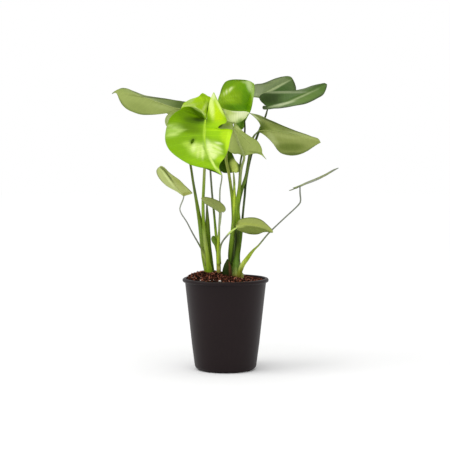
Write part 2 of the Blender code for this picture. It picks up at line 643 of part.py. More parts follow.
# Stalks of each clump from the crown up, with the blade that each one bears:
# (across, down, depth in mm, width in steps)
STALKS = {
    "left": [
        ("far_left", [(209.5, 289, 5, 6), (209, 274, 5, 8.6), (206, 262, 5, 7.5), (203, 245, 4, 6),
            (200, 222, 3, 4.6), (196.8, 203, 2, 3.4), (193.3, 183, 3, 2.6), (190.5, 165, 5, 2.4),
            (184, 135, 10, 2.2), (181.4, 113, 11, 1.8)]),
        ("front", [(209.5, 289, 0, 5), (209.5, 274, 0, 6.6), (207, 255, 0, 5), (204, 230, -1, 3.8),
            (203, 205, -2, 3.2), (203.8, 185, -4, 3), (204.5, 168, -6, 2.8), (205.3, 145, -10, 2.6),
            (206, 130, -17, 2.4), (205.9, 124, -22, 1.8)]),
        (None, [(210.5, 289, 4, 5.5), (210.9, 274, 4, 7.2), (210, 262, 4, 6.5), (208.5, 246, 4, 5.5),
            (207.6, 228, 2, 5), (207.2, 214, 0, 3), (206.8, 202, -1, 1.2)]),
        ("small_left", [(207, 265, 0, 4), (204, 254, -2, 2.6), (201, 248, -4, 1.8),
            (192.5, 233, -10, 1.5), (186.5, 221.5, -14, 1.3), (182, 214.8, -17, 1.3),
            (179.8, 209.4, -19, 1.3), (181, 204.4, -20, 1.3), (183, 199.8, -21, 1.3)]),
    ],
    "middle": [
        ("behind_left", [(218.6, 289, 2, 4), (218.6, 274, 1.8, 4), (218, 258, 2.5, 3.7),
            (216, 235, 4, 2.8), (214, 213, 5, 2.3), (212, 193, 6, 2), (210.5, 172, 8, 2),
            (209, 145, 12, 2), (209, 125, 14, 1.6)]),
        ("hidden", [(218.8, 289, 1, 3.4), (219.2, 274, 0.6, 3.6), (219, 255, 0, 3), (219, 235, 0, 2.2),
            (219.7, 210, 0, 1.6), (220, 190, -1, 1.4), (221.8, 175.5, -3, 1.4), (219, 169, -2.5, 1.4)]),
        ("small_centre", [(218.5, 265, -2, 3.6), (218, 250, -5, 2.8), (218.8, 232, -12, 1.8),
            (220.5, 220, -20, 1.5)]),
        ("low_right", [(219.5, 264, -2, 3.6), (219.7, 250, -6, 2.4), (222, 242.5, -10, 1.8),
            (226, 237, -16, 1.8), (231, 231.5, -22, 2)]),
        (None, [(217.4, 252, 2, 3), (216, 245, 1, 3.6), (213.9, 240.6, 0, 4.6), (213.2, 238, 0, 4.2),
            (213.8, 235.8, 0, 1.6)]),
    ],
    "right": [
        ("back_right", [(235, 289, 7, 6), (234, 274, 8, 7.6), (230.6, 258, 8, 5.4), (230.9, 248, 7, 5),
            (232.1, 236, 6, 4.6), (233.4, 222, 6, 4), (233.3, 210, 6, 4), (232.4, 197, 7, 3.8),
            (231, 188, 8, 3.3), (228.8, 173, 10, 3), (226, 158, 14, 3),
            (228, 142, 28, 2.6), (230.5, 125, 40, 2.4), (240, 109, 54, 2.2)]),
        ("shaded", [(235.5, 289, 5, 5), (234.6, 274, 5, 6.6), (231.8, 252, 5, 4.4), (233.6, 228, 4, 3.6),
            (234.2, 212, 3, 3.2), (234.8, 198, 4, 2.8), (234.3, 189, 9, 2.5), (234.1, 180, 15, 2.3)]),
        ("inner_right", [(236.5, 289, 2, 7), (236, 274, 2, 8.6), (236.8, 256, 1, 4.6),
            (237.4, 245, -1, 4), (237.9, 234, -3, 4.2), (237.6, 222, -4, 4.6), (237.6, 210, -4, 4.4),
            (238.2, 198, -5, 4.2), (239.4, 188, -5, 3.4), (240.3, 178, -6, 2.8), (241.5, 168, -8, 2.6),
            (244.2, 157, -14, 2.4), (241.5, 149, -19, 2.2), (237, 140, -20, 2),
            (234.4, 131, -16, 1.6)]),
        ("upper", [(237, 289, 4, 6), (236.4, 274, 4, 8), (234.5, 259, 5, 4.8), (235.4, 246, 5, 4.4),
            (236.2, 233, 5, 3.8), (236.8, 220, 4, 3.4), (237.8, 200, 3, 2.8), (239.4, 182, 4, 2.3),
            (240.2, 164, 5, 2), (242, 154, 6, 2),
            (244.8, 132, 6, 1.8), (244.7, 122, 6, 1.5)]),
        ("right", [(237, 289, 3, 6), (237, 274, 3, 8), (238.2, 256, 2, 3.8), (239.4, 245, 2, 4),
            (240.1, 234, 2, 4), (239.2, 222, 2, 3.6), (238.2, 210, 1, 3.2), (239.4, 200, 1, 3.2),
            (241.2, 192, 2, 3.4), (243.2, 185, 2, 3.3), (246, 176, 3, 2.9), (249, 158, 4, 2.6),
            (252.8, 138, 4, 2.2)]),
        ("far_right", [(237.5, 289, 7, 6), (238, 274, 8, 8), (238.4, 256, 8, 3.2), (240.2, 242, 8, 3.2),
            (241.6, 230, 9, 2.8), (242.8, 215, 9, 2.3), (243.8, 205, 9, 2.3), (244.8, 195, 9, 2.3),
            (245.4, 186, 9, 2.4), (246.8, 176, 9, 2.5), (249.8, 160, 9, 2.8),
            (256.2, 139, 14, 2.4), (261.6, 125, 21, 2.2), (265.6, 116, 22, 2)]),
        ("edge_right", [(238, 289, -2, 4.6), (239, 275, -4, 5), (240.8, 269, -6, 4.8),
            (243.4, 263.5, -6, 4.7), (246.8, 259, -6, 4.4), (250.4, 254, -6, 3.6), (254, 249.6, -6, 2.4),
            (258, 246, -6, 1.8), (268, 234, -6, 1.6), (284, 218.5, -6, 1.5), (297, 206.4, -6, 1.5),
            (300.4, 202, -6, 1.5), (300, 193, -6, 1.5)]),
    ],
    "bud": [
        (None, [(226.2, 289, -7, 4), (226.5, 274, -7, 4.9), (226.9, 266, -6.5, 4.9),
            (227.2, 261.5, -6, 3), (227.4, 259, -6, 0.8)]),
    ],
}

CLUMP_COLOURS = {
    "left": (110, 125, 62),
    "middle": (140, 155, 75),
    "right": (116, 136, 53),
    "bud": (84, 78, 42),
}


def main():
    clear_scene()
    make_pot()
    make_soil()
    for name, stalks in STALKS.items():
        title = "bud" if name == "bud" else "stems_" + name
        make_clump(title, stalks, PLUGS[name], CLUMP_COLOURS[name])
    for name, leaf in LEAVES.items():
        make_leaf(name, leaf)


main()
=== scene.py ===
import math
import random

import bmesh
import bpy
from mathutils import Matrix, Vector, noise


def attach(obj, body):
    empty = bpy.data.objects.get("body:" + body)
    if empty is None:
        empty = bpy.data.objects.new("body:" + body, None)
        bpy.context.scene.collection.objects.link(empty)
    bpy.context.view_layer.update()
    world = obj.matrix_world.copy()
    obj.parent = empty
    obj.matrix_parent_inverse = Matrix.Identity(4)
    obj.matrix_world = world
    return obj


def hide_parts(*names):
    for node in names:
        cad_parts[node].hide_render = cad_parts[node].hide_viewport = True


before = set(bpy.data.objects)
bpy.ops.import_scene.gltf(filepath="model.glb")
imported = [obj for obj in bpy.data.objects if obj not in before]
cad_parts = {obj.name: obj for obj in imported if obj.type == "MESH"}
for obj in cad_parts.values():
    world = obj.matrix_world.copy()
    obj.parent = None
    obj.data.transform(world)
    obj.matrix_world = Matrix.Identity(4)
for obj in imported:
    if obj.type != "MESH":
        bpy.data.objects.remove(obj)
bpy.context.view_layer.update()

MM = 0.001

# Places are in metres. The front view fixes where leaves and stalks lie: its eye
# stands before the pot, looks slightly down and counts in steps, here the
# picture's 450 by 450 pixels.
EYE = Vector((-0.0009, -2.204, 0.3677))
LOOK_DOWN = math.radians(3.80)
STEPS = 1446.0
MIDDLE = 225.0
PICTURE = 450.0
SENSOR = 36.0
STEP_SIZE = 1.53 * MM

# Blades: their outline, the veins that quilt them and the midrib that stands out below
BLADE = 0.8 * MM
LEVELS = 54
RIB_STEPS = 16
RIB_CURVE = 1.3
EDGE_STEPS = 12
EDGE_EASE = 1.25
TIP_EASE = 1.15
FAN_STRIDE = 2
MERGE = 0.02 * MM
VEIN_SPACING = 9 * MM
FAN_SPACING = 15 * MM
FEWEST_VEINS = 5
VEIN_WIDTH = 0.10
VEIN_DEPTH = 0.6
QUILT = 0.12
WAVE = 1.2 * MM
WAVES_PER_METRE = 42.0
SLIT_DEPTH = 30 * MM
MIDRIB_RINGS = 24
MIDRIB_END = 0.97
MIDRIB_FOOT = 1.05 * MM
MIDRIB_TIP = 0.22 * MM
MIDRIB_TAPER = 0.8
LEAF_CREASE = math.radians(62)

# Stalks and the root crowns that they grow from; ridges are noise per metre across and
# along a stalk, and their height
STALK_STEP = 4 * MM
STALK_SPANS = 8
FEWEST_RINGS = 12
STALK_END = 0.9 * MM
STALK_RIDGES = (900, 22, 0.14 * MM)
CROWN_MIDDLE = 138 * MM
CROWN_HEIGHT = 30 * MM
CROWN_SHARE = 0.88
CROWN_ROUGH = 0.10
CROWN_LUMPS = 350

# Pot
GAP = 0.3 * MM
POT_HEIGHT = 140 * MM
RIM_RADIUS = 66 * MM
TOP_RADIUS = 62 * MM
BASE_RADIUS = 47.5 * MM
BASE_ROUND = 7.5 * MM
WALL = 1.6 * MM
LIP_HEIGHT = 5.8 * MM
LIP_REACH = 2.6 * MM
LIP_WALL = 1.3 * MM
MOUTH_ROUND = 1.1 * MM
FLOOR_ROUND = 5 * MM
POT_TURNS = 144
DRAIN_HOLES = 6
DRAIN_RADIUS = 3.5 * MM
DRAIN_CIRCLE = 30 * MM
DRAIN_CUT = 12 * MM
POT_CREASE = math.radians(38)

# Potting mix: a heaped mound with chips, coir strands and perlite grains in it. Lumps are
# noise per metre, the slice of it and height; lengths and lift are drawn in mm, tip and
# roll in degrees. A shade holds up to its share of the draw.
SOIL_EDGE = 137.8 * MM
SOIL_TILT = 0.032
SOIL_HEAP = 10.6 * MM
HEAP_PLACE = (-23 * MM, 8 * MM)
HEAP_SIZE = (32 * MM, 38 * MM)
SOIL_TURNS = 112
SOIL_RINGS = 30
LUMPS = ((260, 0, 0.9 * MM), (620, 3, 0.5 * MM))
CHIPS = 1700
STRANDS = 120
GRAINS = 16
CHIP_LENGTH = (1.8, 5.2)
CHIP_WIDTH = (0.35, 0.75)
CHIP_THICKNESS = (0.3, 0.8)
CHIP_TIP = 24
CHIP_ROLL = 30
CHIP_LIFT = (-0.4, 0.75)
STRAND_LENGTH = (5, 12)
STRAND_WIDTH = 0.42 * MM
GRAIN_LENGTH = (0.9, 1.6)
GRAIN_FORM = (1.0, 0.9, 0.8)
SEEN_GRAIN_LIFT = 0.5 * MM
SEEN_GRAIN_TURN = (20, 10, 0)
EDGE_CLEAR = 1.2 * MM
CROWN_CLEAR = 1.5 * MM
BIT_ROUGH = 0.28
PEAT = "#1c0e08"
CHIP_SHADES = [(0.18, "#160a06"), (0.38, "#2f170f"), (0.58, "#4e2c1f"), (0.78, "#6f4030"), (0.92, "#8c533e"),
    (1.0, "#b0705a")]
GRAIN_SHADES = [(0.5, "#d9d2c6"), (1.0, "#b9ab9c")]
SEEN_GRAIN = "#e6e0d6"

# Bits of perlite that the front view shows: across, down, size in mm
PERLITE_SEEN = [(220, 281.4, 4.2), (210, 281.2, 2.2), (200.5, 280.6, 1.8), (252, 277.0, 1.6),
    (193, 277.8, 1.4)]

# Bud sheath and the scale on its right flank: across, down, depth in mm, width in steps
BUD = [(226, 279, -7, 7.4), (226.2, 271, -7, 7.6), (226.6, 266, -6.8, 6), (227.2, 262, -6.2, 3.4),
    (227.5, 259, -6, 0.9)]
BUD_SCALE = [(229.8, 279, -8, 3.8), (229.6, 271, -8.5, 4.2), (229.4, 266, -8, 3), (228.8, 261.5, -7, 1.2)]
BUD_RIDGES = (700, 60, 0.35 * MM)
SCALE_RIDGES = (800, 60, 0.4 * MM)
BUD_SKINS = {
    "bud_sheath_green": ([(140, "#2b2a12"), (150, "#233209"), (165, "#2f3d10")], 0.5),
    "bud_scale_papery": ([(140, "#3a2614"), (150, "#513620"), (165, "#5c4424")], 0.6),
}

# Light: strength all round; a sun's direction, spread in degrees and strength; a lamp's place, size and watts
SURROUND_LIGHT = 0.82
DAYLIGHT = ((-1.0, -0.35, 1.1), 40, 0.8)
SOFTBOX = ((0.0, -0.75, 1.9), 0.80, 4)
SOFTBOX_AIM = Vector((0, 0, 0.3))
FLOOR_RADIUS = 6.0
FLOOR_DROP = 0.3 * MM

# Upper face: green, its deeper cloud, roughness, coat. Underside: green, cloud. Midrib.
LEAF_FINISHES = {
    "bright": (("#80ae08", "#78a406", 0.4, 0.06), ("#a3b860", "#8ea64e"), "#b0d634"),
    "green": (("#84ac14", "#789f10", 0.38, 0.12), ("#d2e284", "#c4d670"), "#8cb03c"),
    "dark": (("#40601e", "#365418", 0.4, 0.1), ("#7d9058", "#687c48"), "#8c9e66"),
    "grey": (("#66764a", "#5a6c3c", 0.4, 0.1), ("#7d9058", "#687c48"), "#98a674"),
    # "deep" is painted shade: both faces dark for the leaves that hang in shade behind the front leaf
    "deep": (("#466408", "#385404", 0.42, 0.06), ("#3c5806", "#304a02"), "#4c681c"),
    "olive": (("#6f8f36", "#5c7d2a", 0.4, 0.1), ("#9aa65c", "#8e9a50"), "#98a45c"),
    "pale": (("#5c7c2c", "#4a6a20", 0.4, 0.1), ("#a2b260", "#98a858"), "#a4b066"),
    "light": (("#8ca650", "#78943e", 0.4, 0.1), ("#bcc678", "#b0ba6c"), "#b8c078"),
}

# Petiole colours from the crown up: height in mm and colour. Besides each stalk's own greens they hold
# painted light and shade: lighter where a stalk is lit, darker where shade falls on it.
STALK_SKINS = {
    "stalk_olive": [(140, "#7d8c24"), (160, "#809c28"), (183, "#7a8e34"), (213, "#74903a"),
        (235, "#6c8420"), (255, "#748c34"), (270, "#66783a"), (300, "#66743a"), (320, "#5c6834"),
        (420, "#7f8c50")],
    "stalk_light": [(140, "#8a8f34"), (152, "#7a9a1c"), (163, "#86a024"), (178, "#96ac3c"),
        (200, "#8ca048"), (225, "#86a62c"), (245, "#86a238"), (262, "#86a238"), (280, "#8aa43c"),
        (300, "#9ba65c"), (420, "#b0bd70")],
    # stalk_dark is painted shade: the near-black colour of the sheath in shade on the right of the left clump
    "stalk_dark": [(140, "#46540f"), (160, "#4f680c"), (183, "#4a5f08"), (205, "#56700f"), (225, "#5f7420"),
        (240, "#5c6a38"), (420, "#5c6a48")],
    "stalk_lime": [(140, "#b4a860"), (152, "#c8cc60"), (163, "#b4cc38"), (180, "#acc830"), (200, "#98b830"),
        (207, "#90ac30"), (225, "#6c8c24"), (245, "#5f7030"), (262, "#6a7454"), (420, "#6a7454")],
    "stalk_thin_pale": [(140, "#b4a860"), (152, "#c0c858"), (165, "#b0c838"), (200, "#a4bc34"),
        (208, "#94a850"), (220, "#9aa874"), (262, "#9aa188"), (300, "#949c80"), (420, "#949c80")],
    "stalk_thin_bowed": [(140, "#a4b848"), (183, "#8ca040"), (193, "#7c8464"), (205, "#7f8474"),
        (213, "#a8b870"), (217, "#c8e070"), (230, "#c8e070")],
    "stalk_thin_grey": [(150, "#7d8c40"), (183, "#76843c"), (195, "#7c8270"), (230, "#868a80"),
        (245, "#a0a496"), (262, "#9aa08c"), (420, "#8c927c")],
    "stalk_stub": [(180, "#7c9430"), (195, "#6f9030"), (203, "#5f7a28"), (215, "#4c5c24")],
    "stalk_fresh": [(140, "#4c5c14"), (165, "#52661a"), (183, "#62781f"), (205, "#7c9a38"),
        (240, "#7c9830"), (262, "#86a02c"), (280, "#94a444"), (300, "#9aa648"), (420, "#b0bd70")],
    "stalk_bright": [(140, "#4f6a14"), (190, "#6c8a24"), (215, "#86a436"), (232, "#a2bc40"),
        (250, "#bcdc40"), (262, "#c4dc48"), (276, "#b4cc58"), (290, "#b4c078"), (420, "#b4c078")],
    "stalk_green": [(130, "#8ea850"), (149, "#94ac50"), (158, "#6c9034"), (168, "#567a1c"),
        (183, "#587020"), (200, "#3f5010"), (213, "#4a5c20"), (222, "#66820f"), (245, "#80a028"),
        (262, "#80a028"), (275, "#7f9434"), (296, "#8a965c"), (420, "#b0bd70")],
    "stalk_shaded_green": [(140, "#4f6a14"), (200, "#4c6414"), (290, "#5c7030"), (330, "#5c6a40"),
        (345, "#3c4628"), (360, "#2c3420"), (376, "#3c4a20")],
    "stalk_dark_green": [(140, "#5c6c1c"), (165, "#42561a"), (190, "#526c18"), (213, "#4a6c0c"),
        (240, "#486410"), (262, "#5c7a10"), (278, "#66842c"), (296, "#66783a"), (420, "#5c6a3c")],
    "stalk_darkest": [(140, "#3c5014"), (213, "#5c6c28"), (230, "#4f5e34"), (250, "#5a6a3a"),
        (268, "#46543a"), (280, "#2c4408"), (292, "#4c5c24"), (310, "#3c4c20"), (420, "#4c5a2c")],
    "stalk_sheath": [(140, "#8a9434"), (152, "#98a838"), (160, "#b4c850"), (170, "#acc244"),
        (178, "#a0b63c"), (188, "#98aa48"), (196, "#8a946c"), (215, "#868b7c"), (420, "#868b7c")],
    "crown_left": [(130, "#6a5a2c"), (142, "#8a803c"), (152, "#7c8c20")],
    "crown_middle": [(130, "#7c5c34"), (142, "#b8a85c"), (152, "#b4bf50")],
    "crown_right": [(130, "#5c4c20"), (142, "#848438"), (152, "#90a850")],
}

# Root crowns in the mix: x, y and radius in metres
PLUGS = {
    "left": (-0.0252, 0.0035, 0.0092),
    "middle": (-0.0102, 0.0012, 0.0042),
    "right": (0.0174, 0.003, 0.0126),
    "bud": (0.0008, -0.007, 0.0046),
}

# Outline and midrib points are (across, down, extra depth in mm); three more numbers bow the middle of the
# rib that ends there. "lean" is mm of depth for each step down, and "hold" the share of each edge whose ribs
# fan out from the stalk. A "hole" is (across, down, depth, length, width, turn). "quilt" is how many mm the
# flesh swells between veins, "rib" the midrib's share of its full thickness, "margin" the colour along the
# edge and its strength. "tint_top" and "tint_under" wash the left and the right half of a face; some darker
# washes are painted shade, on a half that turns away from the light or lies behind another leaf, and a grey
# one is painted sheen. Spots are (across, down, half length, half width, turn in degrees, colour, strength),
# on the upper face or below. Many spots are painted light and shade: painted shade in hollows, folds, gaps
# and behind other leaves, and painted highlights, glare and sheen on the blades.
LEAVES = {
    "far_left": {
        "depth": 12, "finish": "pale", "slot": "leaf_pale", "hold": (0.16, 0.36),
        # The darker wash and the dark spots on the upper half are painted shade where that half turns away
        # from the light; the pale spots below the midrib are painted light.
        "margin": ("#66763c", 0.6), "rib": 0.6, "tint_under": (("#8f9f54", 0.8), ("#a2b062", 0.7)),
        "under_spots": [(181, 104.5, 15, 5.5, 8, "#40560f", 0.95),
            (165, 101.5, 12, 3.4, 12, "#66793a", 0.8), (159, 98.2, 27, 0.9, 6, "#46541f", 0.9),
            (137, 92.9, 8, 0.8, 22, "#5c6c30", 0.8), (122, 88.2, 7, 0.7, 0, "#5c6c30", 0.6),
            (166, 108, 14, 2.2, 14, "#b0be72", 0.7), (140, 114.2, 16, 1.0, 3, "#66783a", 0.7),
            (122, 105, 9, 1.0, 58, "#66783a", 0.7), (138, 108, 12, 5, 20, "#8a9a4c", 0.5),
            (168, 121, 5, 8, 0, "#b2c27c", 0.8)],
        "mid": [(181, 109.5, 0), (175, 108.4, -3), (160, 103.2, -7), (144, 97.6, -9), (130, 93.6, -10),
            (120, 91.6, -10), (115.6, 91.4, -10), (111.6, 94, -10)],
        "left": [(185, 109, 8), (190.5, 104, 16), (183, 101.6, 26), (175, 100.2, 32), (165, 98.8, 34),
            (146, 95.7, 30), (134, 91.6, 16), (127, 88.8, 6), (121.5, 88.2, -4), (117.6, 89.7, -8),
            (115, 91, -10)],
        "right": [(180, 113, 2), (177, 124, 5), (171, 129, 6), (167, 127, 6), (164.9, 121.5, 5),
            (166, 116.5, 4), (168.6, 113.5, 4), (160, 113.8, 5), (150, 114.8, 6), (141, 114.6, 6),
            (133, 112.3, 4), (126.5, 109, 0), (122, 104.6, -3), (119.2, 99.5, -6), (117.4, 94.8, -8),
            (115.9, 92.8, -9), (113.8, 93.1, -10)],
    },
    "front": {
        "depth": -28, "lean": -1.05, "finish": "bright", "slot": "leaf_bright",
        "hold": ({0: 0.0, 10: 0.0, 11: 0.09, 12: 0.12, 13: 0.14, 14: 0.1667}, 0.22),
        "hole": (192.4, 141.2, -50, 0.008, 0.004, -28), "quilt": 0.06,
        # Spots: painted shade in the funnel at the blade's base, painted glare highlights on its lower half,
        # and painted light along the pointed ear and the right edge.
        "spots": [(189, 117.5, 13, 8, 20, "#648c06", 0.7), (187, 128, 17, 5, 10, "#5c7e06", 0.9),
            (198, 112.5, 12, 3.2, 40, "#466a02", 0.85), (194, 120.6, 11, 4.2, 10, "#466604", 0.85),
            (199.5, 119.4, 7, 2.4, 5, "#223800", 0.9), (184, 154, 22, 8, 30, "#80b002", 0.7),
            (202, 163.5, 18, 3.4, 16, "#94c408", 0.6), (172, 130.5, 10, 6.5, -15, "#a4c854", 0.75),
            (172, 135.2, 8, 1.1, -12, "#c4e070", 0.75), (176, 132.4, 9, 0.9, -14, "#c0dc74", 0.7),
            (177, 129, 9, 1.0, 2, "#bcd86c", 0.7), (171, 126.4, 6, 1.0, 20, "#bcd878", 0.6),
            (175, 124.4, 5, 0.8, 10, "#9cc040", 0.5), (216, 132, 11, 8, 10, "#9cd008", 0.75),
            (218, 129.8, 12, 1.2, 2, "#b8e41c", 0.6), (216, 112, 15, 7, 62, "#bcde10", 0.9),
            (211.4, 105, 13, 2.6, 84, "#dcf084", 0.85), (218.6, 105, 11, 1.4, 62, "#dcf080", 0.8),
            (213.6, 96, 4, 1.8, 90, "#e4f2a8", 0.8), (218, 123.5, 9, 3, -10, "#a4d40c", 0.7),
            (226, 136, 6, 8, 0, "#bce416", 0.7), (228.6, 140, 12, 3.0, 98, "#c0ea24", 0.9),
            (204.7, 130, 10, 0.9, 91, "#c4e84c", 0.8), (190, 144.8, 8, 3.2, 12, "#b0d444", 0.75),
            (197, 149.6, 10, 7, 30, "#bcdc58", 0.9), (194, 147.6, 2.8, 4.4, 12, "#dcf094", 0.75),
            (198.4, 150.4, 1.6, 7, 5, "#d4e884", 0.7), (202.4, 151, 1.8, 8, -2, "#dcf090", 0.75),
            (200.6, 152, 0.7, 6, 2, "#b8da54", 0.5), (196.3, 150.6, 0.7, 5, 8, "#b4d850", 0.5),
            (213, 150, 8.5, 8, 40, "#c8e46c", 0.9), (210.4, 148.6, 3, 9, -22, "#e4f4a4", 0.8),
            (216, 146.6, 7, 1.4, 30, "#e0f09c", 0.7), (217, 151.5, 6, 1.3, 20, "#d4ec88", 0.7),
            (213.4, 154.8, 4, 4.2, -20, "#dcf094", 0.85), (218.5, 143.2, 4, 1.2, 12, "#ecfab4", 0.6),
            (204.4, 146.6, 6, 0.8, 80, "#7ca41c", 0.85), (207.3, 154.6, 6, 0.8, 70, "#84ac28", 0.85),
            (215.4, 148.8, 6, 0.5, 26, "#b0d83c", 0.6), (215, 144.8, 6, 0.5, 22, "#b0d83c", 0.6),
            (214.6, 153, 5, 0.5, 22, "#bcdc58", 0.6), (220, 159, 5, 3.4, -20, "#a4d018", 0.9),
            (212.6, 162.6, 9, 1.2, 62, "#dcf284", 0.8), (219, 171, 5, 1.0, 55, "#d4ee74", 0.7),
            (192.2, 141.2, 2.6, 4.4, 28, "#4f6e0c", 0.7), (196, 108.8, 8, 1.0, 32, "#c0dc70", 0.6),
            (166.6, 124, 9, 0.9, 98, "#94a464", 0.7), (165.8, 141, 7, 0.7, 84, "#7c9a34", 0.6),
            (206, 168.4, 10, 0.7, 8, "#5c8410", 0.6)],
        "mid": [(205.5, 120, 0), (205, 128, 2), (204.6, 138, 3), (206.5, 149, 3), (212.5, 162, 1),
            (219, 171, 0), (222, 175.3, 0)],
        "left": [(207, 119, 0), (209, 110, 4), (210, 102, 5), (211.4, 97, 5), (213.8, 92.3, 5),
            (216.3, 97.2, 5), (219.6, 104.5, 4), (223.4, 112.6, 2), (226.8, 120.6, 0), (225, 123.4, 0),
            (221.6, 124.4, 0), (217.8, 127.6, 1), (221, 129.2, 0), (226, 128.6, 0), (232.6, 130, 2),
            (231.5, 134.5, 2), (230, 140, 2), (228.5, 148, 2), (225, 157, 1), (220.2, 163, 0),
            (219, 167, 0), (220.2, 171.5, 0)],
        "right": [(204.8, 117.5, 5), (203, 114.3, 4, 0, 1, 3), (199, 110, 2, 0, 2, 10),
            (195, 108, 0, 0, 2, 13), (190, 107, -2, 0, 1, 15), (184, 107.5, -4, 0, 0, 15),
            (180, 110, -5, 0, 0, 13), (175, 113, -5, 0, 0, 11), (170, 118, -4, 0, 0, 8),
            (167.5, 124, -2, 0, 0, 5), (166, 129, 0, 0, 0, 3), (165, 137, 1), (165.5, 142, 2),
            (168, 148, 3), (172, 153, 3), (180, 159, 3), (190, 164.5, 3), (200, 167.5, 2), (208, 168.6, 1),
            (214, 170.3, 0), (219, 173.5, 0)],
    },
    "behind_left": {
        "depth": 12, "finish": "bright", "slot": "leaf_bright", "hold": (0.3, 0.4),
        # The dark wash on its left half is painted shade where that half lies behind the front leaf, and the
        # dark spot beside the front leaf's ear is painted shade between the two.
        "tint_top": (("#48680a", 0.85), ("#b4dc20", 0.9)),
        "spots": [(204, 95.5, 7, 2.0, 14, "#86ae10", 0.8), (178, 108.6, 8, 1.0, -34, "#d0e090", 0.7),
            (188, 105.6, 8, 0.9, -4, "#d4e890", 0.7), (198.6, 110.4, 7, 1.0, 44, "#dcf09c", 0.75),
            (203.6, 115.5, 4, 0.9, 62, "#e0f4a0", 0.7), (193, 104.6, 11, 1.6, -12, "#c8e070", 0.7),
            (190, 101, 5, 2.2, -30, "#b8cf78", 0.7), (200, 103, 6, 4, 0, "#a8d014", 0.7),
            (207.6, 110, 9, 1.0, 96, "#42600c", 0.95), (204.4, 107.5, 6, 1.3, -62, "#e0f08c", 0.7),
            (202, 112, 5, 1.3, 40, "#d8ec90", 0.7), (205.5, 101, 4, 1.4, 80, "#8fb818", 0.5)],
        "mid": [(209, 122, 0), (203, 115, -1), (195, 110, -5), (181, 108.5, -10)],
        "left": [(207, 127, -3), (206, 137, -6), (200.5, 145.5, -8), (193, 147.5, -9), (187.5, 142, -9),
            (184.2, 131, -9), (181.6, 117, -9)],
        "right": [(211, 113, 0), (211.4, 103, 0), (210.6, 97.2, 0), (208, 96, 0), (205, 94, 0),
            (202.5, 93, 0), (200.4, 94.5, -2), (199, 96, -2), (196, 97.5, -4), (191, 99, -6),
            (187.5, 100.7, -8), (183.5, 103.5, -9)],
    },
    "upper": {
        "depth": 0, "finish": "green", "slot": "leaf_green", "hold": (0.42, 0.3),
        "margin": ("#54702c", 0.35), "rib": 0.4, "quilt": 0.08,
        # The pale streak across the upper face and the pale strip at its right edge are painted highlights.
        "spots": [(226, 100, 10, 12, 0, "#94bc14", 0.75), (238, 107.5, 16, 3.8, 2, "#548804", 0.85),
            (246, 98, 5, 12, 0, "#588f04", 0.7), (243, 87, 9, 5, 0, "#649a08", 0.6),
            (230, 84, 7, 3, -30, "#649a08", 0.5), (227.5, 91.6, 8.5, 1.8, -38, "#b4d64c", 0.9),
            (228, 90.8, 6, 0.9, -40, "#eaf6b4", 0.85), (226, 100.5, 10, 1.0, -6, "#a4cc38", 0.7),
            (231, 96.5, 8, 0.8, -8, "#a0c838", 0.6), (230, 104, 9, 0.8, 4, "#7cb01c", 0.6),
            (249.6, 86, 3.0, 7, -18, "#c4da94", 0.85), (252.8, 93, 1.4, 9, 0, "#a8c46c", 0.8),
            (246, 82.6, 5, 1.2, 14, "#b4cc80", 0.6), (237, 79.9, 13, 0.8, 2, "#3f5f08", 0.85),
            (222.5, 88, 0.9, 7, 28, "#46680c", 0.8), (219.5, 100, 1.6, 5, -8, "#94c02c", 0.7),
            (240.5, 124.5, 4.5, 6, 0, "#6c9830", 0.85), (239, 125, 0.7, 5, 8, "#8cb054", 0.6),
            (242, 124, 0.7, 5, 8, "#4c7814", 0.6)],
        # The pale patches on the underside wall are painted glare.
        "under_spots": [(243, 114, 9, 4.5, -20, "#f0f8c8", 0.85), (226, 113, 8, 5, 30, "#bcd26c", 0.7),
            (234, 119, 7, 5, 0, "#e8f4b4", 0.7), (236, 111.6, 14, 0.9, 0, "#f4fad4", 0.6),
            (228, 118, 5, 0.8, 50, "#b4ca70", 0.6), (240.5, 124.5, 4.5, 6, 0, "#6c9830", 0.85)],
        "mid": [(244.5, 118.5, 6), (245.5, 113, 16), (247.5, 105, 24), (250, 95, 28), (252, 88, 29),
            (254, 83.5, 28)],
        "left": [(247, 116.3, 0), (249.3, 112.4, -6), (245.5, 111.3, -9, 1.5, 1, 0),
            (240, 111.3, -12, -2, 6, -3), (232, 110.8, -13, -5, 9, -4), (225.5, 109.3, -10, -7, 9, -2),
            (221.3, 107, -3, -6, 8, 5), (218.2, 100, 6, -2, 3, 8), (219.8, 94, 10, 0, 0, 6),
            (222, 87, 17, 0, 0, 4), (225.5, 81.8, 23), (231, 79.8, 27), (240, 79.5, 29), (249, 80.7, 29)],
        "right": [(242, 119.5, 9), (236.8, 121.5, 14), (235.8, 125.5, 14), (239.5, 129.8, 13),
            (243.2, 128.6, 12), (245, 122.5, 11), (247.5, 116.5, 9), (250, 111, 9), (252, 103.5, 11),
            (253.3, 97, 14), (254.3, 90, 19)],
    },
    "back_right": {
        "depth": 66, "finish": "grey", "slot": "leaf_dark", "hold": (0.22, 0.1), "margin": ("#3f4c2c", 0.8),
        # The grey wash on its left half and the pale spots along it are painted sheen on the dark upper face.
        "rib": 0.7, "tint_top": (("#6c7b50", 0.8), ("#48602c", 0.85)), "shows_through": True,
        "spots": [(256, 90, 8, 6, -10, "#828e68", 0.8), (258, 95, 8, 1.6, 0, "#929e78", 0.7),
            (281, 90.5, 9, 6, 0, "#3c5a1e", 0.85), (271, 97, 12, 3, 0, "#3c5420", 0.7),
            (274, 88.6, 19, 1.2, -28, "#a3b07e", 0.9), (272, 83, 10, 1.6, -24, "#74844f", 0.6),
            (262, 83.6, 11, 0.8, -4, "#4f5e38", 0.85), (277, 78.2, 9, 0.8, -16, "#4f5e38", 0.85),
            (294.4, 85, 8, 1.0, 70, "#3c4c20", 0.9), (288, 77.4, 6, 1.6, 20, "#4c642a", 0.7)],
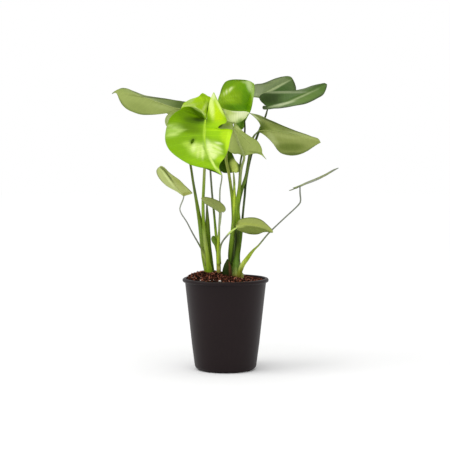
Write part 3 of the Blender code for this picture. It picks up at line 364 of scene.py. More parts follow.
        "mid": [(251, 97.5, -3), (261, 94, -2), (270, 89.5, 0), (280, 84.2, 4), (292, 77.8, 10)],
        "left": [(248, 95, 6), (249, 89, 14), (255, 84.6, 20), (262, 83.4, 25), (269, 80.9, 26),
            (276, 78.2, 24), (282, 76.4, 20), (287, 75.9, 15), (290.4, 76.6, 12)],
        "right": [(251.5, 97.2, -4), (255, 96.3, -6), (259.5, 95.6, -9), (264, 98.5, -12),
            (272, 102.3, -14), (282, 102.3, -13), (290, 99, -10), (295, 94, -5), (296.2, 89.2, 0),
            (294.6, 82.6, 5)],
    },
    "far_right": {
        "depth": 20, "finish": "dark", "slot": "leaf_dark", "hold": (0.22, 0.2), "margin": ("#3f4c2c", 0.8),
        "rib": 0.7, "tint_top": (("#48642a", 0.85), ("#5c743e", 0.85)), "shows_through": True,
        "tint_under": (("#54702f", 0.85), ("#5f7640", 0.85)),
        # The near-black spot at its base is painted shade in the hollow of the blade, and the grey strip
        # along the top is painted sheen.
        "spots": [(271, 98.5, 14, 7, 0, "#2a3c12", 0.95), (290, 97, 12, 4.5, -12, "#4a642c", 0.8),
            (304, 93.0, 12, 3.2, -18, "#4c662a", 0.9), (284, 92.2, 24, 1.3, 0, "#828f66", 0.9),
            (305, 88.8, 12, 0.8, -14, "#5c6c40", 0.8), (296, 99.0, 26, 1.0, -24, "#98a874", 0.85),
            (283, 104, 14, 1.2, -13, "#b0bc90", 0.85), (304, 99.5, 13, 2.6, -22, "#66803f", 0.8),
            (314, 94, 8, 3, -30, "#5c7834", 0.7), (290, 107, 24, 0.8, -4, "#46523a", 0.85),
            (318, 98, 9, 0.9, -38, "#3c4c24", 0.9), (325.6, 89, 6, 0.9, -75, "#3c4c24", 0.9),
            (319, 85.4, 8, 0.8, -18, "#3f4f26", 0.85), (322, 89, 3.4, 4, 0, "#4c6c24", 0.8),
            (264, 107.5, 4, 1.6, 0, "#3f4a2c", 0.85), (259.8, 99, 1.0, 4, 0, "#3f4d28", 0.85)],
        "mid": [(268, 107.3, 0), (275, 105, -1), (283, 102, -2), (292, 97.7, -3), (300, 94.7, -3),
            (310, 90.5, -2), (320, 86.5, 0), (327, 84.3, 2)],
        "left": [(266, 105.6, 4), (262.4, 102.8, 10), (259.4, 98.8, 16), (260, 95.6, 21), (263.2, 93.4, 26),
            (270, 91.9, 30), (280, 91.2, 30), (290, 90.8, 28), (298, 89.8, 24), (305.5, 87.9, 18),
            (312.5, 85.6, 12), (319.5, 83.7, 7), (324.6, 83, 4)],
        "right": [(266, 106.5, -3), (262.8, 106.2, -8), (263, 109, -12), (268, 109.3, -17),
            (274, 108.4, -23), (282, 107.5, -28), (290, 106.6, -28), (300, 105, -24), (306, 103.5, -20),
            (312, 101, -16), (318, 98, -12), (323, 95, -8), (325.4, 91, -4), (326.8, 87, 0)],
    },
    "right": {
        "depth": 2, "finish": "olive", "slot": "leaf_pale", "hold": (0.12, 0.28),
        "margin": ("#66763a", 0.7), "rib": 0.4,
        "under_spots": [(260, 130, 7, 3.5, -20, "#44580f", 0.8), (264, 126, 9, 3.4, 30, "#5f7226", 0.8),
            (258, 119.5, 9, 3.4, 60, "#6a7c3c", 0.7), (254, 116, 8, 1.3, 35, "#b4c088", 0.85),
            (266, 119.6, 9, 1.2, 30, "#a8b474", 0.7), (270, 121, 14, 0.9, 22, "#4c5a24", 0.85),
            (294, 130.2, 16, 0.8, 21, "#66763a", 0.8), (277, 127.5, 12, 3, 20, "#8c9a4c", 0.7),
            (302, 135.8, 14, 2.0, 16, "#acb86c", 0.75), (288, 133.2, 16, 0.7, 10, "#7f8f44", 0.8),
            (286, 136.4, 18, 1.6, 10, "#a4b066", 0.7), (273, 140, 9, 3.4, 55, "#b4c07c", 0.8),
            (290, 147, 16, 4.6, 0, "#66782c", 0.85), (286, 141, 12, 2, 8, "#8c9a4c", 0.6),
            (292, 154, 12, 1.6, 0, "#5c6c2c", 0.85), (274, 146.5, 10, 1.0, 52, "#4f5e28", 0.85),
            (311, 149, 8, 1.0, -32, "#74844a", 0.7)],
        "mid": [(258.5, 131, 0), (265, 130.5, -3), (275, 132, -5), (290, 134.3, -6), (303, 137, -6),
            (313, 140, -5), (320.8, 142.6, -4)],
        "left": [(259.5, 132.8, 1), (262, 133, 2), (265, 133.8, 4), (268, 136.8, 6), (273, 143.3, 8),
            (277, 149.3, 9), (281, 153, 9), (287, 155, 8), (293, 155.6, 7), (300, 154.4, 5),
            (307, 151.2, 2), (312.6, 147.4, -1), (317, 144.6, -3)],
        "right": [(249.8, 113.2, 10, 4.6, 1.2, -3), (254, 114.2, 12, 4, 0.5, -3),
            (260, 115.5, 14, 2.5, 0, -2), (268, 119, 17, 1, 0, 0), (275, 122, 19), (285, 126.5, 19),
            (295, 130.5, 16), (305, 134.2, 11), (312, 136.9, 5), (318.3, 138.9, 0)],
    },
    "inner_right": {
        "depth": -12, "finish": "pale", "slot": "leaf_pale", "hold": (0.35, 0.05),
        "margin": ("#84924e", 0.5), "rib": 0.25, "quilt": 0.06,
        # The near-black spot in the notch under the front leaf's ear is painted shade.
        "under_spots": [(228, 140, 10, 14, 0, "#b8c474", 0.9), (249, 146, 10, 6, 40, "#a0ae60", 0.6),
            (238.5, 141, 15, 0.7, 68, "#b8c484", 0.8), (225, 126.6, 6, 2.4, 0, "#8a9e50", 0.85),
            (227.6, 124, 3, 1.8, 0, "#7c9c24", 0.8), (220.2, 125.8, 3.2, 1.5, -38, "#3c5c00", 0.95),
            (233.6, 124.6, 3.4, 2.0, 70, "#7f9048", 0.9), (238.4, 128.4, 4, 0.9, 34, "#b8c87c", 0.8),
            (256, 152.6, 8, 1.2, 10, "#74843c", 0.7), (236, 154, 8, 0.9, 0, "#7f8f48", 0.7)],
        "mid": [(233.5, 128, 0), (240, 134, -1), (248, 142, -2), (256, 150, -2), (261, 154, -1),
            (266.3, 159.3, 0)],
        "left": [(232.4, 122.8, 2), (227.5, 121.2, 4), (222, 122.4, 5), (218, 126, 6), (217, 131.5, 7),
            (219, 140, 7), (224, 147, 6), (229.5, 151.5, 4), (234, 154, 2), (238, 153.9, 1), (244, 156, 0),
            (247, 155.2, 0), (252, 154, -1), (257, 153.7, -1), (262, 155.6, -1)],
        "right": [(233.8, 122.8, 2), (236.6, 124.6, 4), (240.6, 129.2, 8), (245, 133.4, 12), (250, 137, 14),
            (257, 141, 12), (260, 145, 9), (262, 149.5, 5), (262.4, 153.3, 2)],
    },
    "shaded": {
        "depth": 24, "finish": "deep", "slot": "leaf_dark", "hold": (0.4, 0.35), "rib": 0.4,
        # The leaf stands in shade; its two bright spots are painted light, a lit strip across it.
        "spots": [(233.8, 164.4, 3.8, 5.4, -8, "#f0ff88", 0.95),
            (235.2, 169.8, 3.6, 4.6, 0, "#f0ff88", 0.95), (228.5, 155, 4, 4.5, 0, "#4c6c14", 0.85),
            (239.6, 167, 1.2, 5, 0, "#34500c", 0.8), (222.5, 165.5, 4.5, 6.5, 0, "#34500a", 0.5)],
        "under_spots": [(233.8, 164.4, 3.8, 5.4, -8, "#f0ff88", 0.95),
            (235.2, 169.8, 3.6, 4.6, 0, "#f0ff88", 0.95), (228.5, 155, 4, 4.5, 0, "#4c6c14", 0.85),
            (222.5, 165.5, 4.5, 6.5, 0, "#34500a", 0.5)],
        "mid": [(233.5, 172.3, 0), (231.5, 166, 2), (229.5, 158, 3), (227, 149, 3)],
        "left": [(229, 173, -2), (223, 172.6, -3), (219, 168.5, -3), (218, 162, -3), (220, 155, -1),
            (223.5, 150, 2)],
        "right": [(236, 173, -2), (239.5, 171.4, -5), (240.3, 166.5, -6), (238.5, 163.6, -4),
            (235.5, 160.5, -2), (232.5, 154.5, 0), (230, 150, 2)],
    },
    "hidden": {
        "depth": -6, "finish": "deep", "slot": "leaf_dark", "hold": (0.35, 0.2),
        "mid": [(216.5, 163, 0), (211, 165.5, 2), (204.5, 168.4, 3)],
        "left": [(218.5, 168, -1), (221.3, 174.8, -3), (215, 172.4, -3), (210, 170.6, -1), (207, 169.3, 1)],
        "right": [(217, 157, 2), (211, 155, 4), (205, 160, 4), (202.5, 165.5, 4)],
    },
    "small_left": {
        "depth": -22, "finish": "light", "slot": "leaf_pale", "hold": (0.25, 0.15),
        "margin": ("#8b9460", 0.85), "rib": 0.3, "tint_under": (("#ccd484", 0.85), ("#b0bc74", 0.85)),
        # The dark streaks along the midrib are painted shade in its fold.
        "under_spots": [(164.6, 171, 5, 2.2, 50, "#8c9a44", 0.8),
            (168.6, 176.2, 8, 1.1, 52, "#6c7c2c", 0.9), (167.4, 178, 12, 1.1, 54, "#ccda90", 0.8),
            (162.4, 168.6, 4, 0.9, 40, "#4f5c28", 0.8), (186, 193.6, 5, 1.6, -14, "#a0a44c", 0.7),
            (178, 181, 8, 2.4, 46, "#bcc468", 0.6), (183.6, 196, 2, 1.4, 0, "#7c8440", 0.8),
            (162, 176, 10, 1.2, 55, "#b0be6c", 0.5)],
        "mid": [(183.8, 196.2, 0), (180, 191.5, -2), (174, 184.5, -3), (168, 176.5, -3), (163.4, 169.6, -2),
            (160.8, 165.8, -1.5)],
        "left": [(185.8, 195.6, 3), (189.5, 194.5, 8), (192.4, 193.2, 11), (189.6, 189.8, 13),
            (184.5, 184.8, 13), (179.5, 179.6, 12), (174.5, 176, 11), (169.5, 172.4, 9), (166.4, 169.4, 6),
            (163.6, 166.9, 3)],
        "right": [(182.6, 195.4, 2), (179.6, 192.8, 5), (175.5, 190.4, 8), (170, 187.8, 11),
            (165.5, 185, 12), (161, 180.8, 12), (157.6, 176, 10), (156.2, 171.4, 6), (157.8, 168, 1)],
    },
    "small_centre": {
        "depth": -26, "finish": "olive", "slot": "leaf_pale", "hold": (0.2, 0.15),
        "margin": ("#5c6634", 0.85), "rib": 0.35, "tint_under": (("#98a25c", 0.6), ("#909c58", 0.6)),
        "mid": [(221.5, 211.5, 0), (215, 206, -2), (208, 201.5, -3), (201, 198, -2)],
        "left": [(223.5, 212.5, 2), (225.5, 210.5, 6), (225.3, 207.5, 9), (223, 204.3, 11),
            (219, 201.2, 11), (214, 199, 9), (209, 197.6, 5), (205, 197, 1)],
        "right": [(221, 213.5, 3), (218.5, 212.2, 6), (213, 208.6, 9), (208, 205.6, 8), (204, 203, 4),
            (202, 200.3, 0)],
    },
    "low_right": {
        "depth": -27, "finish": "olive", "slot": "leaf_pale", "hold": (0.15, 0.22),
        "margin": ("#5c6634", 0.85), "rib": 0.4, "tint_under": (("#76863a", 0.8), ("#a3ae5a", 0.7)),
        "under_spots": [(240, 226.6, 7, 1.4, -10, "#c0d068", 0.85),
            (250, 224.6, 14, 1.6, 6, "#a8b450", 0.6), (236.4, 223.6, 2.6, 1.6, -20, "#5c6c0c", 0.8),
            (254, 227.4, 16, 0.7, 8, "#7c8a3c", 0.6), (250, 233.6, 14, 0.9, 0, "#5f6e2c", 0.7),
            (252, 217.8, 14, 0.8, 2, "#7c8a48", 0.7)],
        "mid": [(237, 227.5, 0), (243, 226, -2), (250, 225.8, -3), (262, 228, -3), (273, 232.6, 0)],
        "left": [(236.8, 229.5, 3), (239, 230.5, 6), (243, 232.3, 9), (250, 234.2, 10), (258, 234, 8),
            (263, 232.2, 6), (267, 231.9, 4), (270, 232.5, 1)],
        "right": [(235.4, 226, 3), (237, 222.5, 8), (240, 219, 12), (247, 217.4, 14), (255, 217.5, 14),
            (262, 220, 12), (267.3, 224.5, 8), (271, 228.4, 4), (272.6, 230.6, 1.5)],
    },
    "edge_right": {
        "depth": -6, "finish": "pale", "slot": "leaf_pale", "hold": (0.25, 0.25), "rib": 0.6,
        "shows_through": True,
        "spots": [(293, 189.4, 7, 2.4, -4, "#6c7450", 0.95), (299.8, 187.2, 2.4, 2.4, 0, "#34400f", 0.9),
            (312, 181, 14, 2.2, -26, "#8a8c86", 0.95), (324, 175, 8, 2.4, -30, "#7f8460", 0.9),
            (334, 169.6, 7, 2.0, -20, "#7c7e7a", 0.9)],
        "mid": [(300, 186.6, 0), (306, 184, -1), (316, 179.3, 0), (326, 174.8, 0), (333, 170.5, 0),
            (338.6, 168, 0)],
        "left": [(297, 188.4, -5), (291, 190.2, -11), (289, 190.4, -17), (296, 188.2, -21),
            (305, 184.8, -23), (315, 181, -20), (325, 176.6, -13), (332, 172.2, -6)],
        "right": [(298, 187.4, 6), (293, 188.6, 13), (296, 187, 19), (304, 183.2, 22), (314, 178.8, 20),
            (324, 174.2, 13), (332, 169.9, 6)],
    },
}

# Stalks of each clump from the crown up, with the blade that each bears and its skin:
# (across, down, depth in mm, width in steps)
CLUMPS = {
    "stalks_left": ("stems_left", "crown_left", [
        ("far_left", "stalk_olive", [(209.5, 289, 5, 6), (209, 274, 5, 8.6), (206, 262, 5, 7.5),
            (203, 245, 4, 6), (200, 222, 3, 4.6), (196.8, 203, 2, 3.4), (193.3, 183, 3, 2.6),
            (190.5, 165, 5, 2.4), (184, 135, 10, 2.2), (181.4, 113, 11, 1.8)]),
        ("front", "stalk_light", [(209.5, 289, 0, 5), (209.5, 274, 0, 6.6), (207, 255, 0, 5),
            (204, 230, -1, 3.8), (203, 205, -2, 3.2), (203.8, 185, -4, 3), (204.5, 168, -6, 2.8),
            (205.3, 145, -10, 2.6), (206, 130, -17, 2.4), (205.9, 124, -22, 1.8)]),
        (None, "stalk_dark", [(210.5, 289, 4, 5.5), (210.9, 274, 4, 7.2), (210, 262, 4, 6.5),
            (208.5, 246, 4, 5.5), (207.6, 228, 2, 5), (207.2, 214, 0, 3), (206.8, 202, -1, 1.2)]),
        ("small_left", "stalk_thin_grey", [(207, 265, 0, 4), (204, 254, -2, 2.6), (201, 248, -4, 1.8),
            (192.5, 233, -10, 1.5), (186.5, 221.5, -14, 1.3), (182, 214.8, -17, 1.3),
            (179.8, 209.4, -19, 1.3), (181, 204.4, -20, 1.3), (183, 199.8, -21, 1.3)]),
    ]),
    "stalks_middle": ("stems_middle", "crown_middle", [
        ("behind_left", "stalk_lime", [(218.6, 289, 2, 4), (218.6, 274, 1.8, 4), (218, 258, 2.5, 3.7),
            (216, 235, 4, 2.8), (214, 213, 5, 2.3), (212, 193, 6, 2), (210.5, 172, 8, 2), (209, 145, 12, 2),
            (209, 125, 14, 1.6)]),
        ("hidden", "stalk_thin_pale", [(218.8, 289, 1, 3.4), (219.2, 274, 0.6, 3.6), (219, 255, 0, 3),
            (219, 235, 0, 2.2), (219.7, 210, 0, 1.6), (220, 190, -1, 1.4), (221.8, 175.5, -3, 1.4),
            (219, 169, -2.5, 1.4)]),
        ("small_centre", "stalk_thin_pale", [(218.5, 265, -2, 3.6), (218, 250, -5, 2.8),
            (218.8, 232, -12, 1.8), (220.5, 220, -20, 1.5)]),
        ("low_right", "stalk_thin_bowed", [(219.5, 264, -2, 3.6), (219.7, 250, -6, 2.4),
            (222, 242.5, -10, 1.8), (226, 237, -16, 1.8), (231, 231.5, -22, 2)]),
        (None, "stalk_stub", [(217.4, 252, 2, 3), (216, 245, 1, 3.6), (213.9, 240.6, 0, 4.6),
            (213.2, 238, 0, 4.2), (213.8, 235.8, 0, 1.6)]),
    ]),
    "stalks_right": ("stems_right", "crown_right", [
        ("back_right", "stalk_fresh", [(235, 289, 7, 6), (234, 274, 8, 7.6), (230.6, 258, 8, 5.4),
            (230.9, 248, 7, 5), (232.1, 236, 6, 4.6), (233.4, 222, 6, 4), (233.3, 210, 6, 4),
            (232.4, 197, 7, 3.8), (231, 188, 8, 3.3), (228.8, 173, 10, 3), (226, 158, 14, 3),
            (228, 142, 28, 2.6), (230.5, 125, 40, 2.4), (240, 109, 54, 2.2)]),
        ("shaded", "stalk_bright", [(235.5, 289, 5, 5), (234.6, 274, 5, 6.6), (231.8, 252, 5, 4.4),
            (233.6, 228, 4, 3.6), (234.2, 212, 3, 3.2), (234.8, 198, 4, 2.8), (234.3, 189, 9, 2.5),
            (234.1, 180, 15, 2.3)]),
        ("inner_right", "stalk_green", [(236.5, 289, 2, 7), (236, 274, 2, 8.6), (236.8, 256, 1, 4.6),
            (237.4, 245, -1, 4), (237.9, 234, -3, 4.2), (237.6, 222, -4, 4.6), (237.6, 210, -4, 4.4),
            (238.2, 198, -5, 4.2), (239.4, 188, -5, 3.4), (240.3, 178, -6, 2.8), (241.5, 168, -8, 2.6),
            (244.2, 157, -14, 2.4), (241.5, 149, -19, 2.2), (237, 140, -20, 2), (234.4, 131, -16, 1.6)]),
        ("upper", "stalk_shaded_green", [(237, 289, 4, 6), (236.4, 274, 4, 8), (234.5, 259, 5, 4.8),
            (235.4, 246, 5, 4.4), (236.2, 233, 5, 3.8), (236.8, 220, 4, 3.4), (237.8, 200, 3, 2.8),
            (239.4, 182, 4, 2.3), (240.2, 164, 5, 2), (242, 154, 6, 2), (244.8, 132, 6, 1.8),
            (244.7, 122, 6, 1.5)]),
        ("right", "stalk_dark_green", [(237, 289, 3, 6), (237, 274, 3, 8), (238.2, 256, 2, 3.8),
            (239.4, 245, 2, 4), (240.1, 234, 2, 4), (239.2, 222, 2, 3.6), (238.2, 210, 1, 3.2),
            (239.4, 200, 1, 3.2), (241.2, 192, 2, 3.4), (243.2, 185, 2, 3.3), (246, 176, 3, 2.9),
            (249, 158, 4, 2.6), (252.8, 138, 4, 2.2)]),
        ("far_right", "stalk_darkest", [(237.5, 289, 7, 6), (238, 274, 8, 8), (238.4, 256, 8, 3.2),
            (240.2, 242, 8, 3.2), (241.6, 230, 9, 2.8), (242.8, 215, 9, 2.3), (243.8, 205, 9, 2.3),
            (244.8, 195, 9, 2.3), (245.4, 186, 9, 2.4), (246.8, 176, 9, 2.5), (249.8, 160, 9, 2.8),
            (256.2, 139, 14, 2.4), (261.6, 125, 21, 2.2), (265.6, 116, 22, 2)]),
        ("edge_right", "stalk_sheath", [(238, 289, -2, 4.6), (239, 275, -4, 5), (240.8, 269, -6, 4.8),
            (243.4, 263.5, -6, 4.7), (246.8, 259, -6, 4.4), (250.4, 254, -6, 3.6), (254, 249.6, -6, 2.4),
            (258, 246, -6, 1.8), (268, 234, -6, 1.6), (284, 218.5, -6, 1.5), (297, 206.4, -6, 1.5),
            (300.4, 202, -6, 1.5), (300, 193, -6, 1.5)]),
    ]),
}

# Soft spots on the stalks, written as those on the blades: the near-black ones are painted shade in the
# gaps between stalks, the bright yellow-green ones painted light on lit stalks.
STALK_LIGHT_AND_SPOTS = {
    "stalks_left": [(204.6, 243, 14, 0.8, 88, "#a8b86c", 0.6), (200.2, 250, 14, 0.8, 76, "#56681c", 0.6),
        (201.6, 221, 9, 1.0, 80, "#52680c", 0.8), (203.6, 256, 5, 1.0, 62, "#aac04c", 0.6),
        (197.2, 199, 4, 0.9, 74, "#a0b860", 0.6), (212, 265, 9, 0.9, 72, "#34440a", 0.7)],
    "stalks_middle": [(216.2, 247, 11, 0.7, 86, "#7a9420", 0.7), (220, 262, 10, 0.7, 84, "#7c8c34", 0.7),
        (218.2, 268.5, 2.4, 3, 0, "#c8b870", 0.5), (219.8, 272, 3, 2.4, 0, "#5c3420", 0.6),
        (231.5, 231, 6, 1.6, -34, "#cde678", 0.9)],
    "stalks_right": [(234.4, 200, 11, 1.5, 92, "#d4ea50", 0.9), (234.2, 250, 15, 1.8, 101, "#0c1602", 0.95),
        (235.6, 238, 9, 1.3, 92, "#142004", 0.9), (232.2, 261, 6, 1.2, 106, "#0c1602", 0.9),
        (238.4, 238, 9, 1.3, 92, "#2f4208", 0.6), (236.4, 262, 6, 1.6, 96, "#7fa04c", 0.5),
        (234.4, 245, 14, 0.6, 94, "#7c8f58", 0.5), (232.2, 212, 14, 0.7, 86, "#5c7424", 0.6),
        (240.6, 200, 14, 0.8, 100, "#3c4a24", 0.7), (241.5, 187, 4, 1.0, 104, "#52680c", 0.8),
        (244.8, 187.5, 3, 1.4, 90, "#1f3200", 0.8), (238.2, 207, 6, 0.8, 96, "#46580c", 0.6),
        (230.2, 186, 10, 0.7, 74, "#5f7030", 0.6), (242, 263, 3, 1.2, -50, "#d4e270", 0.7),
        (248.6, 257.6, 2.4, 1.6, -52, "#94b010", 0.8), (239.6, 266, 3, 1.0, 90, "#c4d490", 0.6),
        (236, 271, 3, 1.6, 90, "#b4c468", 0.6), (241, 272, 4, 1.6, 90, "#7c8024", 0.6),
        (237, 277, 5, 2, 0, "#7c6424", 0.7)],
}


def seen(across, down, depth):
    """Point at this place of the front view, depth in mm behind the pot's axis."""
    right = (across - MIDDLE) / STEPS
    up = (MIDDLE - down) / STEPS
    ray = Vector((right, math.cos(LOOK_DOWN) + up * math.sin(LOOK_DOWN),
                  up * math.cos(LOOK_DOWN) - math.sin(LOOK_DOWN)))
    return EYE + ray * ((depth * MM - EYE.y) / ray.y)


def picture_place(point):
    """Place of a point in the front view."""
    way = point - EYE
    ahead = way.y * math.cos(LOOK_DOWN) - way.z * math.sin(LOOK_DOWN)
    up = way.y * math.sin(LOOK_DOWN) + way.z * math.cos(LOOK_DOWN)
    return MIDDLE + STEPS * way.x / ahead, MIDDLE - STEPS * up / ahead


def ramp(low, high, value):
    """0 below low, 1 above high, smooth between."""
    t = max(0.0, min(1.0, (value - low) / (high - low)))
    return t * t * (3 - 2 * t)


def linear(hex_colour):
    """Linear colour of an sRGB hex value."""
    channels = [int(hex_colour[i:i + 2], 16) / 255 for i in (1, 3, 5)]
    return tuple(c / 12.92 if c <= 0.04045 else ((c + 0.055) / 1.055) ** 2.4 for c in channels) + (1.0,)


def spline(points, per):
    """Smooth curve through tuples of numbers that keeps them, per spans for each stretch."""
    first = [2 * a - b for a, b in zip(points[0], points[1])]
    last = [2 * a - b for a, b in zip(points[-1], points[-2])]
    rows = [Vector(first)] + [Vector(p) for p in points] + [Vector(last)]
    curve = []
    for i in range(1, len(rows) - 2):
        a, b, c, d = rows[i - 1:i + 3]
        k1, k2, k3 = (max((q.xyz - p.xyz).length, 1e-6) ** 0.5 for p, q in ((a, b), (b, c), (c, d)))
        for j in range(per):
            t = k1 + k2 * j / per
            ab = a * ((k1 - t) / k1) + b * (t / k1)
            bc = b * ((k1 + k2 - t) / k2) + c * ((t - k1) / k2)
            cd = c * ((k1 + k2 + k3 - t) / k3) + d * ((t - k1 - k2) / k3)
            abc = ab * ((k1 + k2 - t) / (k1 + k2)) + bc * (t / (k1 + k2))
            bcd = bc * ((k1 + k2 + k3 - t) / (k2 + k3)) + cd * ((t - k1) / (k2 + k3))
            curve.append(abc * ((k1 + k2 - t) / k2) + bcd * ((t - k1) / k2))
    curve.append(rows[-2])
    return curve


def span(curve):
    """Length of a curve."""
    return sum((b.xyz - a.xyz).length for a, b in zip(curve, curve[1:]))


def arc_shares(curve):
    """Share of the length reached at each point of a curve."""
    sums = [0.0]
    for a, b in zip(curve, curve[1:]):
        sums.append(sums[-1] + (b.xyz - a.xyz).length)
    return [s / sums[-1] for s in sums]


def read_at(curve, shares, share):
    """Point of a curve where its rising shares reach this share."""
    for i in range(1, len(curve)):
        if shares[i] >= share:
            step = shares[i] - shares[i - 1]
            t = (share - shares[i - 1]) / step if step > 0 else 1.0
            return curve[i - 1].lerp(curve[i], max(0.0, min(1.0, t)))
    return curve[-1].copy()


def loose_object(name, data):
    thing = bpy.data.objects.new(name, data)
    bpy.context.scene.collection.objects.link(thing)
    return thing


def mesh_of(shape, name):
    """Makes a bmesh a mesh and frees it."""
    mesh = bpy.data.meshes.new(name)
    shape.to_mesh(mesh)
    shape.free()
    return mesh


def evaluated_mesh(thing):
    """The object's mesh with its modifiers applied."""
    bpy.context.view_layer.update()
    graph = bpy.context.evaluated_depsgraph_get()
    return bpy.data.meshes.new_from_object(thing.evaluated_get(graph))


def add_cut(thing, cutters, name):
    """Lets a Boolean take the cutters' shapes out of an object."""
    cutter = loose_object(name, mesh_of(cutters, name))
    cut = thing.modifiers.new(name, "BOOLEAN")
    cut.operation = "DIFFERENCE"
    cut.solver = "EXACT"
    cut.object = cutter
    return cutter


def settled(thing, cutter=None):
    """The object with its modifiers applied, as a bmesh; the object and its cutter go."""
    whole = evaluated_mesh(thing)
    for spent in (thing, cutter):
        if spent:
            bpy.data.objects.remove(spent, do_unlink=True)
    shape = bmesh.new()
    shape.from_mesh(whole)
    bpy.data.meshes.remove(whole)
    return shape


def add_piece(name, shape, materials, replaced, crease=None):
    """Makes a finished bmesh an object that rides on the plant in place of a CAD node."""
    mesh = mesh_of(shape, name)
    for material in materials:
        mesh.materials.append(material)
    mesh.shade_smooth()
    if crease:
        mesh.set_sharp_from_angle(angle=crease)
    piece = loose_object(name, mesh)
    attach(piece, "root")
    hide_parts(replaced)


def tube_mesh(path, sides=6):
    """Round tube along (x, y, z, radius) points, with closed ends."""
    curve = bpy.data.curves.new("tube", "CURVE")
    curve.dimensions = "3D"
    curve.bevel_depth = 1.0
    curve.bevel_resolution = sides
    curve.use_fill_caps = True
    line = curve.splines.new("POLY")
    line.points.add(len(path) - 1)
    for point, place in zip(line.points, path):
        point.co = (place[0], place[1], place[2], 1.0)
        point.radius = place[3]
    thing = loose_object("tube", curve)
    mesh = evaluated_mesh(thing)
    bpy.data.objects.remove(thing, do_unlink=True)
    bpy.data.curves.remove(curve)
    return mesh


def join_mesh(shape, mesh, material):
    """Adds a closed mesh to a bmesh, its faces pointing out, with this material number."""
    before = set(shape.faces)
    shape.from_mesh(mesh)
    bpy.data.meshes.remove(mesh)
    faces = [face for face in shape.faces if face not in before]
    verts = list({vert for face in faces for vert in face.verts})
    bmesh.ops.remove_doubles(shape, verts=verts, dist=0.002 * MM)
    faces = [face for face in shape.faces if face not in before]
    bmesh.ops.recalc_face_normals(shape, faces=faces)
    for face in faces:
        face.material_index = material
        face.smooth = True
    return list({vert for face in faces for vert in face.verts})


def roughen(shape, verts, ridges):
    """Long low ridges on a stalk: noise per metre across and along it, and their height."""
    across, along, height = ridges
    shape.normal_update()
    for vert in verts:
        c = vert.co
        vert.co = c + vert.normal * (noise.noise(Vector((c.x * across, c.y * across, c.z * along))) * height)


def stalk_rows(points):
    """Points in space and radii of a stalk that the front view gives."""
    return [(*seen(u, v, depth), width * STEP_SIZE / 2) for u, v, depth, width in points]


def on_blade(leaf):
    """Gives a function that places a point of this leaf's outline in space."""
    first_down = leaf["mid"][0][1]

    def place(u, v, extra):
        return seen(u, v, leaf["depth"] + leaf.get("lean", 0) * (v - first_down) + extra)

    return place


def rib_starts(hold, shares):
    """Share of the midrib at which the rib to each point of an edge starts.

    hold is the share of the edge held by ribs that fan out from the stalk, or
    the given starts of some of its outline's points.
    """
    if isinstance(hold, float):
        return [0.0 if s <= hold else ((s - hold) / (1 - hold)) ** EDGE_EASE for s in shares]
    starts = []
    last = max(hold)
    base = shares[last * EDGE_STEPS]
    for i, s in enumerate(shares):
        place = i / EDGE_STEPS
        if place >= last:
            starts.append(hold[last] + (1 - hold[last]) * ((s - base) / (1 - base)) ** TIP_EASE)
        else:
            below = max(k for k in hold if k <= place)
            above = min(k for k in hold if k > place)
            starts.append(hold[below] + (hold[above] - hold[below]) * (place - below) / (above - below))
    return starts


def blade_ribs(leaf, half, hold, midrib, mid_shares, place):
    """Ribs of one half, each (share of the midrib where it starts, points from there out to the edge)."""
    rows = []
    for u, v, extra, *bow in leaf[half]:
        end = place(u, v, extra)
        offset = place(u + bow[0], v + bow[1], extra + bow[2]) - end if bow else Vector((0, 0, 0))
        rows.append((*end, *offset))
    rows.append((*midrib[-1], 0, 0, 0))
    edge = spline(rows, EDGE_STEPS)
    starts = rib_starts(hold, arc_shares(edge))
    held = max(i for i, s in enumerate(starts) if s <= 0.0)
    ends = [(0.0, edge[i]) for i in range(0, held + 1, FAN_STRIDE)]
    for level in range(1, LEVELS + 1):
        ends.append((level / LEVELS, read_at(edge, starts, level / LEVELS)))
    ribs = []
    for start, end in ends:
        root = read_at(midrib, mid_shares, start)
        ahead = read_at(midrib, mid_shares, min(1.0, start + 0.02))
        behind = read_at(midrib, mid_shares, max(0.0, start - 0.02))
        along = (ahead - behind).normalized()
        reach = end.xyz - root
        run = along * reach.dot(along)
        across = reach - run
        bow = Vector(end[3:6])
        points = []
        for j in range(RIB_STEPS + 1):
            q = j / RIB_STEPS
            points.append(root + across * q + run * q ** RIB_CURVE + bow * (4 * q * (1 - q)))
        ribs.append((start, points))
    return ribs


def add_half(shape, ribs, veins, left):
    """Grid of one half of a blade laid on its ribs.

    Each point keeps its vein count and its share of the way out.
    """
    vein_map = shape.loops.layers.uv["veins"]
    count_of = shape.verts.layers.float["vein_count"]
    out_of = shape.verts.layers.float["share_out"]
    left_of = shape.verts.layers.int["left_half"]
    fan = sum(1 for start, points in ribs if start == 0.0)
    fan_edge = sum((a[-1] - b[-1]).length for (_, a), (_, b) in zip(ribs[:fan], ribs[1:fan]))
    fan_veins = fan_edge / FAN_SPACING
    grid = bmesh.ops.create_grid(shape, x_segments=RIB_STEPS, y_segments=len(ribs) - 1, size=1.0)
    faces = {face for vert in grid["verts"] for face in vert.link_faces}
    for vert in grid["verts"]:
        j = round((vert.co.x + 1) / 2 * RIB_STEPS)
        i = round((vert.co.y + 1) / 2 * (len(ribs) - 1))
        start, points = ribs[i]
        vert[count_of] = start * veins if i >= fan else (i / (fan - 1) - 1) * fan_veins
        vert[out_of] = j / RIB_STEPS
        vert[left_of] = -1 if left else 1
        vert.co = points[j]
    for face in faces:
        for loop in face.loops:
            loop[vein_map].uv = (loop.vert[count_of], loop.vert[out_of])
    if left:
        bmesh.ops.reverse_faces(shape, faces=list(faces))


